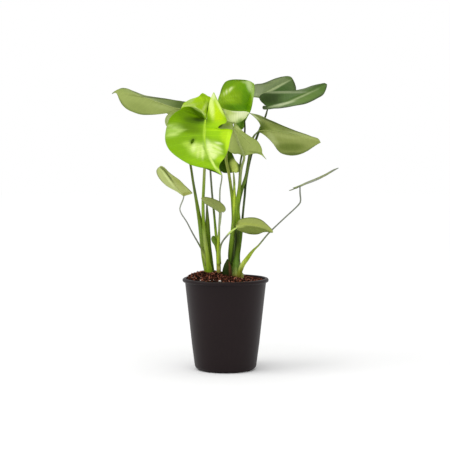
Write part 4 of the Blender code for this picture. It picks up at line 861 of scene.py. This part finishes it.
def quilt_blade(shape, leaf):
    """Lets the flesh swell between sunk veins and the edge wave a little."""
    count_of = shape.verts.layers.float["vein_count"]
    out_of = shape.verts.layers.float["share_out"]
    quilt = leaf.get("quilt", QUILT) * MM
    moves = []
    for vert in shape.verts:
        count = vert[count_of]
        out = vert[out_of]
        off = abs(count - round(count))
        swell = quilt * math.sin(math.pi * count) ** 2 * ramp(0.02, 0.2, out) * (1 - ramp(0.75, 1.0, out))
        groove = VEIN_DEPTH * quilt * math.exp(-(off / VEIN_WIDTH) ** 2)
        groove *= ramp(0.0, 0.05, out) * (1 - ramp(0.6, 0.95, out))
        shift = Vector((leaf["depth"], 0, 0))
        wave = WAVE * ramp(0.55, 1.0, out) * noise.noise(vert.co * WAVES_PER_METRE + shift)
        moves.append(vert.normal * (swell - groove + wave))
    for vert, move in zip(shape.verts, moves):
        vert.co += move


def blade_shape(leaf):
    """Middle surface of a blade with its upper face out, its veins sunk and its vein map laid on."""
    place = on_blade(leaf)
    midrib = spline([tuple(place(*p)) for p in leaf["mid"]], EDGE_STEPS)
    mid_shares = arc_shares(midrib)
    veins = max(FEWEST_VEINS, round(span(midrib) / VEIN_SPACING))
    shape = bmesh.new()
    shape.loops.layers.uv.new("veins")
    shape.verts.layers.float.new("vein_count")
    shape.verts.layers.float.new("share_out")
    shape.verts.layers.int.new("left_half")
    for half, hold in zip(("left", "right"), leaf["hold"]):
        ribs = blade_ribs(leaf, half, hold, midrib, mid_shares, place)
        add_half(shape, ribs, veins, half == "left")
    bmesh.ops.remove_doubles(shape, verts=shape.verts, dist=MERGE)
    bmesh.ops.dissolve_degenerate(shape, edges=shape.edges, dist=MERGE)
    shape.normal_update()
    quilt_blade(shape, leaf)
    return shape, midrib, mid_shares


def tint_and_light_at(point, out, wash, spots, margin=None):
    """Colour that a half's wash, its margin and the soft spots lay over the green, painted light and shade
    among them.

    It comes times its cover, and then the cover.
    """
    layers = []
    if wash:
        layers.append((wash[0], wash[1] * ramp(0.0, 0.07, out)))
    if margin:
        layers.append((margin[0], margin[1] * ramp(0.84, 0.97, out)))
    if spots:
        u, v = picture_place(point)
        for across, down, long, wide, turned, colour, strength in spots:
            a = math.radians(turned)
            x = (u - across) * math.cos(a) + (v - down) * math.sin(a)
            y = (v - down) * math.cos(a) - (u - across) * math.sin(a)
            layers.append((colour, strength * math.exp(-((x / long) ** 2 + (y / wide) ** 2) ** 2)))
    laid = Vector((0, 0, 0, 0))
    for colour, cover in layers:
        if cover > 0.002:
            laid = laid * (1 - cover) + Vector((*linear(colour)[:3], 1.0)) * cover
    return laid


def lay_tints_and_light(shape, leaf):
    """Washes and spots of a leaf, painted light and shade among them, as a colour attribute for each of its
    faces.
    """
    out_of = shape.verts.layers.float["share_out"]
    left_of = shape.verts.layers.int["left_half"]
    under_spots = leaf.get("under_spots", leaf.get("spots") if leaf.get("shows_through") else None)
    for face_name, spots in (("tint_top", leaf.get("spots")), ("tint_under", under_spots)):
        tint = shape.verts.layers.float_color.new(face_name)
        washes = leaf.get(face_name, (None, None))
        for vert in shape.verts:
            vert[tint] = tint_and_light_at(vert.co, vert[out_of], washes[vert[left_of] > 0], spots, leaf.get("margin"))


def slit_shape(hole):
    """Long round cutter that runs through a blade from front to back."""
    u, v, depth, long, wide, turned = hole
    shape = bmesh.new()
    bmesh.ops.create_cone(shape, cap_ends=True, segments=32, radius1=1, radius2=1, depth=SLIT_DEPTH,
                          matrix=Matrix.Translation(seen(u, v, depth))
                          @ Matrix.Rotation(math.radians(90), 4, "X")
                          @ Matrix.Rotation(math.radians(turned), 4, "Z")
                          @ Matrix.Diagonal((wide / 2, long / 2, 1, 1)))
    return shape


def add_midrib(shape, leaf, midrib, shares):
    """Round rib along the underside that thins towards the tip."""
    under = Vector((0, 0, 0))
    for face in shape.faces:
        if face.material_index == 1:
            under += face.normal * face.calc_area()
    under.normalize()
    path = []
    for i in range(MIDRIB_RINGS + 1):
        share = i / MIDRIB_RINGS * MIDRIB_END
        point = read_at(midrib, shares, share)
        thick = leaf.get("rib", 1.0) * (MIDRIB_FOOT * (1 - share) ** MIDRIB_TAPER + MIDRIB_TIP)
        path.append((*(point + under * (BLADE / 2)), thick))
    join_mesh(shape, tube_mesh(path, 4), 2)


def make_leaf(name, leaf, materials):
    """Fine blade with an upper and an under side and the midrib that stands out below."""
    shape, midrib, shares = blade_shape(leaf)
    mesh = mesh_of(shape, "blade")
    mesh.shade_smooth()
    for _ in materials:
        mesh.materials.append(None)
    blade = loose_object("blade", mesh)
    solid = blade.modifiers.new("thickness", "SOLIDIFY")
    solid.thickness = BLADE
    solid.offset = 0.0
    solid.material_offset = 1
    cutter = add_cut(blade, slit_shape(leaf["hole"]), "slit") if "hole" in leaf else None
    finished = settled(blade, cutter)
    lay_tints_and_light(finished, leaf)
    add_midrib(finished, leaf, midrib, shares)
    add_piece("leaf_blade_" + name, finished, materials, "leaf_" + name, LEAF_CREASE)


def crown_mesh(plug):
    """Lumpy root crown, half sunk in the mix."""
    x, y, radius = plug
    middle = Vector((x, y, CROWN_MIDDLE))
    wide = radius * CROWN_SHARE
    root = bmesh.new()
    bmesh.ops.create_uvsphere(root, u_segments=28, v_segments=16, radius=1.0,
                              matrix=Matrix.Translation(middle)
                              @ Matrix.Diagonal((wide, wide, CROWN_HEIGHT / 2, 1)))
    for vert in root.verts:
        vert.co += (vert.co - middle) * CROWN_ROUGH * noise.noise(vert.co * CROWN_LUMPS)
    return mesh_of(root, "crown")


def make_clump(name, node_name, stalks, spots, plug, materials, crown_number):
    """Fine stalks of one clump and the root crown that they grow from, in one piece."""
    shape = bmesh.new()
    for borne, finish_number, points in stalks:
        rows = stalk_rows(points)
        if borne:
            base = on_blade(LEAVES[borne])(*LEAVES[borne]["mid"][0])
            rows.append((*base, min(rows[-1][3], STALK_END)))
        fine = spline(rows, STALK_SPANS)
        shares = arc_shares(fine)
        count = max(FEWEST_RINGS, round(span(fine) / STALK_STEP))
        path = [read_at(fine, shares, i / count) for i in range(count + 1)]
        verts = join_mesh(shape, tube_mesh(path), finish_number)
        roughen(shape, verts, STALK_RIDGES)
    join_mesh(shape, crown_mesh(plug), crown_number)
    # Spots on the stalks: painted shade in the gaps between them and painted light on lit strips.
    tint = shape.verts.layers.float_color.new("tint")
    for vert in shape.verts:
        vert[tint] = tint_and_light_at(vert.co, 0.0, None, spots)
    add_piece(name, shape, materials, node_name)


def make_bud(materials):
    """Young papery sheath: a pointed spindle with a second scale wrapped round its right flank."""
    shape = bmesh.new()
    for number, (points, ridges) in enumerate(((BUD, BUD_RIDGES), (BUD_SCALE, SCALE_RIDGES))):
        verts = join_mesh(shape, tube_mesh(spline(stalk_rows(points), 6)), number)
        roughen(shape, verts, ridges)
    add_piece("bud_sheath", shape, materials, "bud")


def inner_radius(height):
    """Radius of the pot's inside at a height."""
    foot = BASE_RADIUS - WALL
    top = TOP_RADIUS - WALL
    return foot + (top - foot) * height / POT_HEIGHT


def arc(centre, radii, start, end, steps):
    """Points (radius, height) round an ellipse from one angle to another, in degrees."""
    turns = [math.radians(start + (end - start) * i / steps) for i in range(steps + 1)]
    return [(centre[0] + radii[0] * math.cos(a), centre[1] + radii[1] * math.sin(a)) for a in turns]


def turn(profile, steps):
    """Closed outline of (radius, height) points turned about Z."""
    shape = bmesh.new()
    ring = [shape.verts.new((r, 0, z)) for r, z in profile]
    edges = [shape.edges.new((ring[i], ring[(i + 1) % len(ring)])) for i in range(len(ring))]
    bmesh.ops.spin(shape, geom=ring + edges, cent=(0, 0, 0), axis=(0, 0, 1), angle=math.tau,
                   steps=steps, use_merge=True)
    bmesh.ops.remove_doubles(shape, verts=shape.verts, dist=0.003 * MM)
    bmesh.ops.dissolve_degenerate(shape, edges=shape.edges, dist=0.003 * MM)
    bmesh.ops.recalc_face_normals(shape, faces=shape.faces)
    return shape


def make_pot(material):
    """Thin moulded pot with a lip rolled out and down, and drain holes in the foot."""
    lip = (RIM_RADIUS - LIP_REACH, POT_HEIGHT - LIP_HEIGHT / 2)
    neck = POT_HEIGHT - LIP_HEIGHT - LIP_WALL
    floor_edge = inner_radius(BASE_ROUND) - GAP
    profile = [(0.0, 0.0)]
    profile += arc((BASE_RADIUS - BASE_ROUND, BASE_ROUND), (BASE_ROUND, BASE_ROUND), -90, -4, 7)
    profile += [(BASE_RADIUS + (TOP_RADIUS - BASE_RADIUS) * t, neck * t) for t in (0.3, 0.6, 0.9, 1.0)]
    profile += [(TOP_RADIUS + LIP_WALL / 8, POT_HEIGHT - 2 * LIP_WALL)]
    profile += arc(lip, (LIP_REACH - LIP_WALL, LIP_HEIGHT / 2 - LIP_WALL), 90, -70, 8)
    profile += arc(lip, (LIP_REACH, LIP_HEIGHT / 2), -70, 90, 14)
    profile += arc((TOP_RADIUS - WALL + MOUTH_ROUND, POT_HEIGHT - MOUTH_ROUND), (MOUTH_ROUND, MOUTH_ROUND),
                   90, 180, 5)
    profile += [(floor_edge, BASE_ROUND)]
    profile += arc((floor_edge - FLOOR_ROUND, BASE_ROUND), (FLOOR_ROUND, BASE_ROUND - WALL), -20, -90, 4)
    profile += [(0.0, WALL)]
    pot = loose_object("pot", mesh_of(turn(profile, POT_TURNS), "pot"))
    holes = bmesh.new()
    for i in range(DRAIN_HOLES):
        a = math.tau * (i + 0.5) / DRAIN_HOLES
        place = Matrix.Translation((DRAIN_CIRCLE * math.cos(a), DRAIN_CIRCLE * math.sin(a), 0))
        bmesh.ops.create_cone(holes, cap_ends=True, segments=24, radius1=DRAIN_RADIUS, radius2=DRAIN_RADIUS,
                              depth=DRAIN_CUT, matrix=place)
    finished = settled(pot, add_cut(pot, holes, "drain_holes"))
    add_piece("nursery_pot", finished, [material], "pot", POT_CREASE)


def soil_height(x, y):
    """Top of the potting mix, heaped a little left of the middle."""
    r = min(1.0, math.hypot(x, y) / (TOP_RADIUS - WALL))
    off_x = (x - HEAP_PLACE[0]) / HEAP_SIZE[0]
    off_y = (y - HEAP_PLACE[1]) / HEAP_SIZE[1]
    heap = math.exp(-off_x ** 2 / 2 - off_y ** 2 / 2)
    return SOIL_EDGE - SOIL_TILT * x + SOIL_HEAP * heap * (1 - r ** 10)


def on_soil(u, v):
    """Point of the mix that the front view shows here."""
    near, far = -70.0, 70.0
    for _ in range(30):
        middle = (near + far) / 2
        point = seen(u, v, middle)
        if point.z > soil_height(point.x, point.y):
            near = middle
        else:
            far = middle
    return seen(u, v, near)


def soil_body(edge):
    """Mound of fine peat that fills the pot."""
    foot = WALL + 1.2 * MM
    profile = [(edge * i / SOIL_RINGS, SOIL_EDGE) for i in range(SOIL_RINGS + 1)]
    profile += [(inner_radius(BASE_ROUND) - 1 * MM, BASE_ROUND + 1.5 * MM), (BASE_RADIUS - BASE_ROUND, foot)]
    profile += [(0.0, foot)]
    shape = turn(profile, SOIL_TURNS)
    tint = shape.verts.layers.float_color.new("tint")
    for vert in shape.verts:
        x, y, z = vert.co
        if z > SOIL_EDGE - 1 * MM:
            rough = sum(noise.noise(Vector((x, y, slice_height)) * per_metre) * height
                        for per_metre, slice_height, height in LUMPS)
            inside = 1 - ramp(edge - 2 * MM, edge, math.hypot(x, y))
            vert.co.z = soil_height(x, y) + rough * (0.3 + 0.7 * inside)
        vert[tint] = linear(PEAT)
    return shape, tint


def shade_for(pick, shades):
    """Colour whose share of the draw this pick falls in."""
    return linear(next(shade for share, shade in shades if pick <= share))


def add_bit(shape, tint, place, size, angles, dice, colour, number):
    """One small rough lump, a few faces only."""
    turned, tip, roll = (math.radians(a) for a in angles)
    long, wide, thick = size
    matrix = (Matrix.Translation(place) @ Matrix.Rotation(turned, 4, "Z") @ Matrix.Rotation(tip, 4, "Y")
              @ Matrix.Rotation(roll, 4, "X") @ Matrix.Diagonal((long / 2, wide / 2, thick / 2, 1)))
    lump = bmesh.ops.create_icosphere(shape, subdivisions=1, radius=1.0, matrix=matrix)
    faces = set()
    for vert in lump["verts"]:
        vert.co += (vert.co - place) * dice.uniform(-BIT_ROUGH, BIT_ROUGH)
        vert[tint] = colour
        faces.update(vert.link_faces)
    for face in faces:
        face.material_index = number


def make_soil(mix, chip, perlite):
    """Mound of potting mix with bark chips, coir strands and perlite lying in it."""
    dice = random.Random(23)
    edge = inner_radius(SOIL_EDGE - SOIL_TILT * TOP_RADIUS) - GAP
    shape, tint = soil_body(edge)
    for kind in range(CHIPS + STRANDS + GRAINS):
        r = (edge - EDGE_CLEAR) * math.sqrt(dice.random())
        a = math.tau * dice.random()
        x, y = r * math.cos(a), r * math.sin(a)
        long = dice.uniform(*CHIP_LENGTH) * MM
        wide = long * dice.uniform(*CHIP_WIDTH)
        thick = wide * dice.uniform(*CHIP_THICKNESS)
        angles = (dice.uniform(0, 180), dice.gauss(0, CHIP_TIP), dice.gauss(0, CHIP_ROLL))
        pick = dice.random()
        lift = dice.uniform(*CHIP_LIFT) * MM
        if any(math.hypot(x - px, y - py) < radius - CROWN_CLEAR for px, py, radius in PLUGS.values()):
            continue
        number = 1
        shades = CHIP_SHADES
        if kind >= CHIPS + STRANDS:
            long = dice.uniform(*GRAIN_LENGTH) * MM
            wide = long * GRAIN_FORM[1]
            thick = long * GRAIN_FORM[2]
            number = 2
            shades = GRAIN_SHADES
        elif kind >= CHIPS:
            long = dice.uniform(*STRAND_LENGTH) * MM
            wide = STRAND_WIDTH
            thick = STRAND_WIDTH
        place = Vector((x, y, soil_height(x, y) + lift))
        add_bit(shape, tint, place, (long, wide, thick), angles, dice, shade_for(pick, shades), number)
    for u, v, size in PERLITE_SEEN:
        place = on_soil(u, v) + Vector((0, 0, SEEN_GRAIN_LIFT))
        sizes = [size * share * MM for share in GRAIN_FORM]
        add_bit(shape, tint, place, sizes, SEEN_GRAIN_TURN, dice, linear(SEEN_GRAIN), 2)
    add_piece("potting_mix", shape, [mix, chip, perlite], "soil")


def node(tree, kind, settings=None, links=None):
    """Adds a node; settings go to its sockets or properties, links to its inputs."""
    new = tree.nodes.new(kind)
    for name, value in (settings or {}).items():
        if isinstance(name, int) or name in new.inputs:
            new.inputs[name].default_value = value
        else:
            setattr(new, name, value)
    for name, source in (links or {}).items():
        tree.links.new(source, new.inputs[name])
    return new


def new_material(name, settings):
    """Material of one Principled shader, with its tree, the shader and the object's own coordinates."""
    material = bpy.data.materials.new(name)
    material.use_nodes = True
    tree = material.node_tree
    tree.nodes.clear()
    shader = node(tree, "ShaderNodeBsdfPrincipled", settings)
    node(tree, "ShaderNodeOutputMaterial", {}, {"Surface": shader.outputs["BSDF"]})
    place = node(tree, "ShaderNodeTexCoord").outputs["Object"]
    return material, tree, shader, place


def clouded(tree, place, size, light, dark, rough=0.5):
    """Colour that drifts between two shades in clouds of this size."""
    cloud = node(tree, "ShaderNodeTexNoise", {"Scale": 1 / size, "Detail": 3.0, "Roughness": rough},
                 {"Vector": place})
    colour = node(tree, "ShaderNodeMix", {"data_type": "RGBA", 6: linear(dark), 7: linear(light)},
                  {0: cloud.outputs["Fac"]})
    return colour.outputs[2]


def lay_skin(tree, shader, colour, grain, rough, strength, height):
    """The surface's colour, roughness that its grain takes from low to high, and the grain's fine relief."""
    tree.links.new(colour, shader.inputs["Base Color"])
    if rough:
        dull = node(tree, "ShaderNodeMapRange", {"To Min": rough[0], "To Max": rough[1]}, {"Value": grain[0]})
        tree.links.new(dull.outputs["Result"], shader.inputs["Roughness"])
    bump = node(tree, "ShaderNodeBump", {"Strength": strength, "Distance": height}, {"Height": grain[-1]})
    tree.links.new(bump.outputs["Normal"], shader.inputs["Normal"])


def laid_tint_and_light(tree, colour, name):
    """The piece's washes and soft spots, painted light and shade among them, over its colour: theirs comes
    times its cover.
    """
    tint = node(tree, "ShaderNodeAttribute", {"attribute_name": name})
    bare = node(tree, "ShaderNodeMath", {"operation": "SUBTRACT", 0: 1.0}, {1: tint.outputs["Alpha"]})
    left = node(tree, "ShaderNodeVectorMath", {"operation": "SCALE"}, {0: colour, "Scale": bare.outputs[0]})
    laid = node(tree, "ShaderNodeVectorMath", {"operation": "ADD"},
                {0: left.outputs[0], 1: tint.outputs["Color"]})
    return laid.outputs[0]


def vein_light(tree, width, strong, faint):
    """How much lighter the flesh is on a side vein and on the thin veins between, 1 beside them.

    The blade's own vein map counts side veins along the midrib and gives the share of the way out.
    """
    where = node(tree, "ShaderNodeUVMap", {"uv_map": "veins"})
    parts = node(tree, "ShaderNodeSeparateXYZ", {}, {0: where.outputs["UV"]})
    beside = node(tree, "ShaderNodeMath", {"operation": "PINGPONG", 1: 0.5}, {0: parts.outputs["X"]})
    thick = node(tree, "ShaderNodeMapRange",
                 {"interpolation_type": "SMOOTHSTEP", "From Min": 0.0, "From Max": width,
                  "To Min": strong, "To Max": 0.0},
                 {"Value": beside.outputs[0]})
    fade = node(tree, "ShaderNodeMapRange", {"From Min": 0.3, "From Max": 1.0, "To Min": 1.0, "To Max": 0.2},
                {"Value": parts.outputs["Y"]})
    between = node(tree, "ShaderNodeMath", {"operation": "PINGPONG", 1: 0.1}, {0: parts.outputs["X"]})
    thin = node(tree, "ShaderNodeMapRange",
                {"interpolation_type": "SMOOTHSTEP", "From Min": 0.0, "From Max": 0.06,
                 "To Min": 1 + faint, "To Max": 1.0},
                {"Value": between.outputs[0]})
    both = node(tree, "ShaderNodeMath", {"operation": "MULTIPLY_ADD"},
                {0: thick.outputs["Result"], 1: fade.outputs["Result"], 2: thin.outputs["Result"]})
    return both.outputs[0]


def leaf_top(name, green, deep, gloss, coat):
    """Upper face of an aroid leaf: waxy cuticle, so a soft gloss over green flesh with lighter side veins."""
    material, tree, shader, place = new_material(name, {
        "IOR": 1.45, "Specular IOR Level": 0.04, "Coat Weight": coat, "Coat Roughness": 0.18})
    laid = laid_tint_and_light(tree, clouded(tree, place, 26 * MM, green, deep, 0.55), "tint_top")
    mottle = node(tree, "ShaderNodeTexNoise", {"Scale": 1 / (2.2 * MM), "Detail": 2.0}, {"Vector": place})
    fleck = node(tree, "ShaderNodeMapRange",
                 {"From Min": 0.35, "From Max": 0.75, "To Min": 0.95, "To Max": 1.06},
                 {"Value": mottle.outputs["Fac"]})
    veins = vein_light(tree, 0.06, 0.26, 0.07)
    light = node(tree, "ShaderNodeMath", {"operation": "MULTIPLY"}, {0: fleck.outputs["Result"], 1: veins})
    shaded = node(tree, "ShaderNodeVectorMath", {"operation": "SCALE"}, {0: laid, "Scale": light.outputs[0]})
    relief = node(tree, "ShaderNodeMath", {"operation": "MULTIPLY_ADD", 1: -0.6},
                  {0: veins, 2: mottle.outputs["Fac"]})
    lay_skin(tree, shader, shaded.outputs[0], (mottle.outputs["Fac"], relief.outputs[0]),
             (gloss - 0.05, gloss + 0.12), 0.25, 0.15 * MM)
    return material


def leaf_under(name, green, deep):
    """Underside of the leaf: no wax, so matte and greyer, with veins that stand out."""
    material, tree, shader, place = new_material(name, {"IOR": 1.4, "Specular IOR Level": 0.15})
    laid = laid_tint_and_light(tree, clouded(tree, place, 22 * MM, green, deep), "tint_under")
    shaded = node(tree, "ShaderNodeVectorMath", {"operation": "SCALE"},
                  {0: laid, "Scale": vein_light(tree, 0.05, 0.16, 0.07)})
    grain = node(tree, "ShaderNodeTexNoise", {"Scale": 1 / (1.1 * MM), "Detail": 2.0}, {"Vector": place})
    lay_skin(tree, shader, shaded.outputs[0], [grain.outputs["Fac"]], (0.50, 0.66), 0.2, 0.12 * MM)
    return material


def stalk_skin(name, stops, gloss=0.42):
    """Petiole: smooth, fibrous, streaked along its length; paler or darker by height, stops in mm, with
    painted light and shade in those colours.

    A midrib and the bud have no spots, so there the tint is empty and covers nothing.
    """
    material, tree, shader, place = new_material(name, {"IOR": 1.45, "Specular IOR Level": 0.08})
    parts = node(tree, "ShaderNodeSeparateXYZ", {}, {0: place})
    low = stops[0][0]
    high = stops[-1][0]
    height = node(tree, "ShaderNodeMapRange", {"From Min": low * MM, "From Max": high * MM},
                  {"Value": parts.outputs["Z"]})
    colours = node(tree, "ShaderNodeValToRGB", {}, {"Fac": height.outputs["Result"]})
    line = colours.color_ramp
    line.elements[0].color = linear(stops[0][1])
    line.elements[1].color = linear(stops[-1][1])
    for z, shade in stops[1:-1]:
        line.elements.new((z - low) / (high - low)).color = linear(shade)
    stretched = node(tree, "ShaderNodeMapping", {"Scale": (1.0, 1.0, 0.035)}, {"Vector": place})
    fibre = node(tree, "ShaderNodeTexNoise", {"Scale": 1 / (1.0 * MM), "Detail": 3.0},
                 {"Vector": stretched.outputs["Vector"]})
    streak = node(tree, "ShaderNodeMapRange",
                  {"From Min": 0.3, "From Max": 0.7, "To Min": 0.78, "To Max": 1.18},
                  {"Value": fibre.outputs["Fac"]})
    spotted = name in STALK_SKINS
    flesh = laid_tint_and_light(tree, colours.outputs["Color"], "tint") if spotted else colours.outputs["Color"]
    shaded = node(tree, "ShaderNodeVectorMath", {"operation": "SCALE"},
                  {0: flesh, "Scale": streak.outputs["Result"]})
    lay_skin(tree, shader, shaded.outputs[0], [fibre.outputs["Fac"]], (gloss - 0.08, gloss + 0.14),
             0.35, 0.2 * MM)
    return material


def moulded_plastic():
    """Black-brown polypropylene, injection moulded thin: satin, with a faint fine grain."""
    material, tree, shader, place = new_material("moulded_polypropylene", {
        "IOR": 1.49, "Specular IOR Level": 0.2})
    grain = node(tree, "ShaderNodeTexNoise", {"Scale": 1 / (0.8 * MM), "Detail": 2.0}, {"Vector": place})
    lay_skin(tree, shader, clouded(tree, place, 45 * MM, "#1a0c0f", "#15090a"), [grain.outputs["Fac"]],
             (0.40, 0.54), 0.12, 0.1 * MM)
    return material


def crumbs(name, roughness, spread):
    """Bits of bark, coir or perlite: dry and dull, each in its own shade, with a rough skin."""
    material, tree, shader, place = new_material(name, {"Roughness": roughness, "Specular IOR Level": 0.04})
    shade = node(tree, "ShaderNodeAttribute", {"attribute_name": "tint"})
    skin = node(tree, "ShaderNodeTexNoise", {"Scale": 1 / (0.9 * MM), "Detail": 3.0}, {"Vector": place})
    vary = node(tree, "ShaderNodeMapRange",
                {"From Min": 0.3, "From Max": 0.7, "To Min": 1 - spread, "To Max": 1 + spread},
                {"Value": skin.outputs["Fac"]})
    shaded = node(tree, "ShaderNodeVectorMath", {"operation": "SCALE"},
                  {0: shade.outputs["Color"], "Scale": vary.outputs["Result"]})
    lay_skin(tree, shader, shaded.outputs[0], [skin.outputs["Fac"]], None, 0.6, 0.4 * MM)
    return material


def make_floor():
    """Plain pale floor."""
    paint_coat = new_material("floor_paint", {
        "Base Color": linear("#ffffff"), "Roughness": 0.9, "Specular IOR Level": 0.0})[0]
    floor = bmesh.new()
    bmesh.ops.create_circle(floor, cap_ends=True, segments=96, radius=FLOOR_RADIUS,
                            matrix=Matrix.Translation((0, 0, -FLOOR_DROP)))
    mesh = mesh_of(floor, "floor")
    mesh.materials.append(paint_coat)
    loose_object("floor", mesh)


def make_light():
    """Soft white surround, a sun and a lamp; the eye sees the surround pure white."""
    world = bpy.data.worlds.new("surround")
    world.use_nodes = True
    tree = world.node_tree
    tree.nodes.clear()
    glow = node(tree, "ShaderNodeBackground", {"Color": (1, 1, 1, 1), "Strength": SURROUND_LIGHT})
    white = node(tree, "ShaderNodeBackground", {"Color": (1, 1, 1, 1), "Strength": 1.0})
    ray = node(tree, "ShaderNodeLightPath")
    mixed = node(tree, "ShaderNodeMixShader", {},
                 {0: ray.outputs["Is Camera Ray"], 1: glow.outputs[0], 2: white.outputs[0]})
    node(tree, "ShaderNodeOutputWorld", {}, {"Surface": mixed.outputs[0]})
    bpy.context.scene.world = world
    way, spread, strength = DAYLIGHT
    sun = bpy.data.lights.new("daylight", "SUN")
    sun.angle = math.radians(spread)
    sun.energy = strength
    loose_object("daylight", sun).rotation_euler = (-Vector(way)).to_track_quat("-Z", "Y").to_euler()
    place, size, power = SOFTBOX
    box = bpy.data.lights.new("softbox", "AREA")
    box.shape = "DISK"
    box.size = size
    box.energy = power
    lamp = loose_object("softbox", box)
    lamp.location = place
    lamp.rotation_euler = (SOFTBOX_AIM - Vector(place)).to_track_quat("-Z", "Y").to_euler()


def make_camera():
    view = bpy.data.cameras.new("camera")
    view.sensor_width = SENSOR
    view.lens = STEPS * SENSOR / PICTURE
    camera = loose_object("camera", view)
    camera.location = EYE
    camera.rotation_euler = (math.radians(90) - LOOK_DOWN, 0, 0)
    bpy.context.scene.camera = camera
    bpy.context.scene.view_settings.view_transform = "Standard"


def make_stalks():
    """The three clumps, each in the skins of its own stalks and its crown."""
    skins = {name: stalk_skin(name, stops) for name, stops in STALK_SKINS.items()}
    for name, (node_name, crown, stalks) in CLUMPS.items():
        names = list(dict.fromkeys([skin for _, skin, _ in stalks] + [crown]))
        rows = [(borne, names.index(skin), points) for borne, skin, points in stalks]
        make_clump(name, node_name, rows, STALK_LIGHT_AND_SPOTS[name], PLUGS[name.removeprefix("stalks_")],
                   [skins[n] for n in names], names.index(crown))


def make_leaves():
    """The blades, each in the finish of its kind: upper face, underside and midrib."""
    finishes = {}
    for kind, (top, under, rib) in LEAF_FINISHES.items():
        finishes[kind] = [leaf_top("waxy_leaf_" + kind, *top), leaf_under("matte_underside_" + kind, *under),
                          stalk_skin("midrib_" + kind, [(130, rib), (460, rib)])]
    for name, leaf in LEAVES.items():
        make_leaf(name, leaf, finishes[leaf["finish"]])


def main():
    make_floor()
    make_light()
    make_camera()
    make_pot(moulded_plastic())
    make_soil(crumbs("peat_and_coir", 0.95, 0.35), crumbs("bark_chips", 0.85, 0.22),
              crumbs("perlite", 0.9, 0.06))
    make_stalks()
    make_bud([stalk_skin(name, stops, gloss) for name, (stops, gloss) in BUD_SKINS.items()])
    make_leaves()


main()
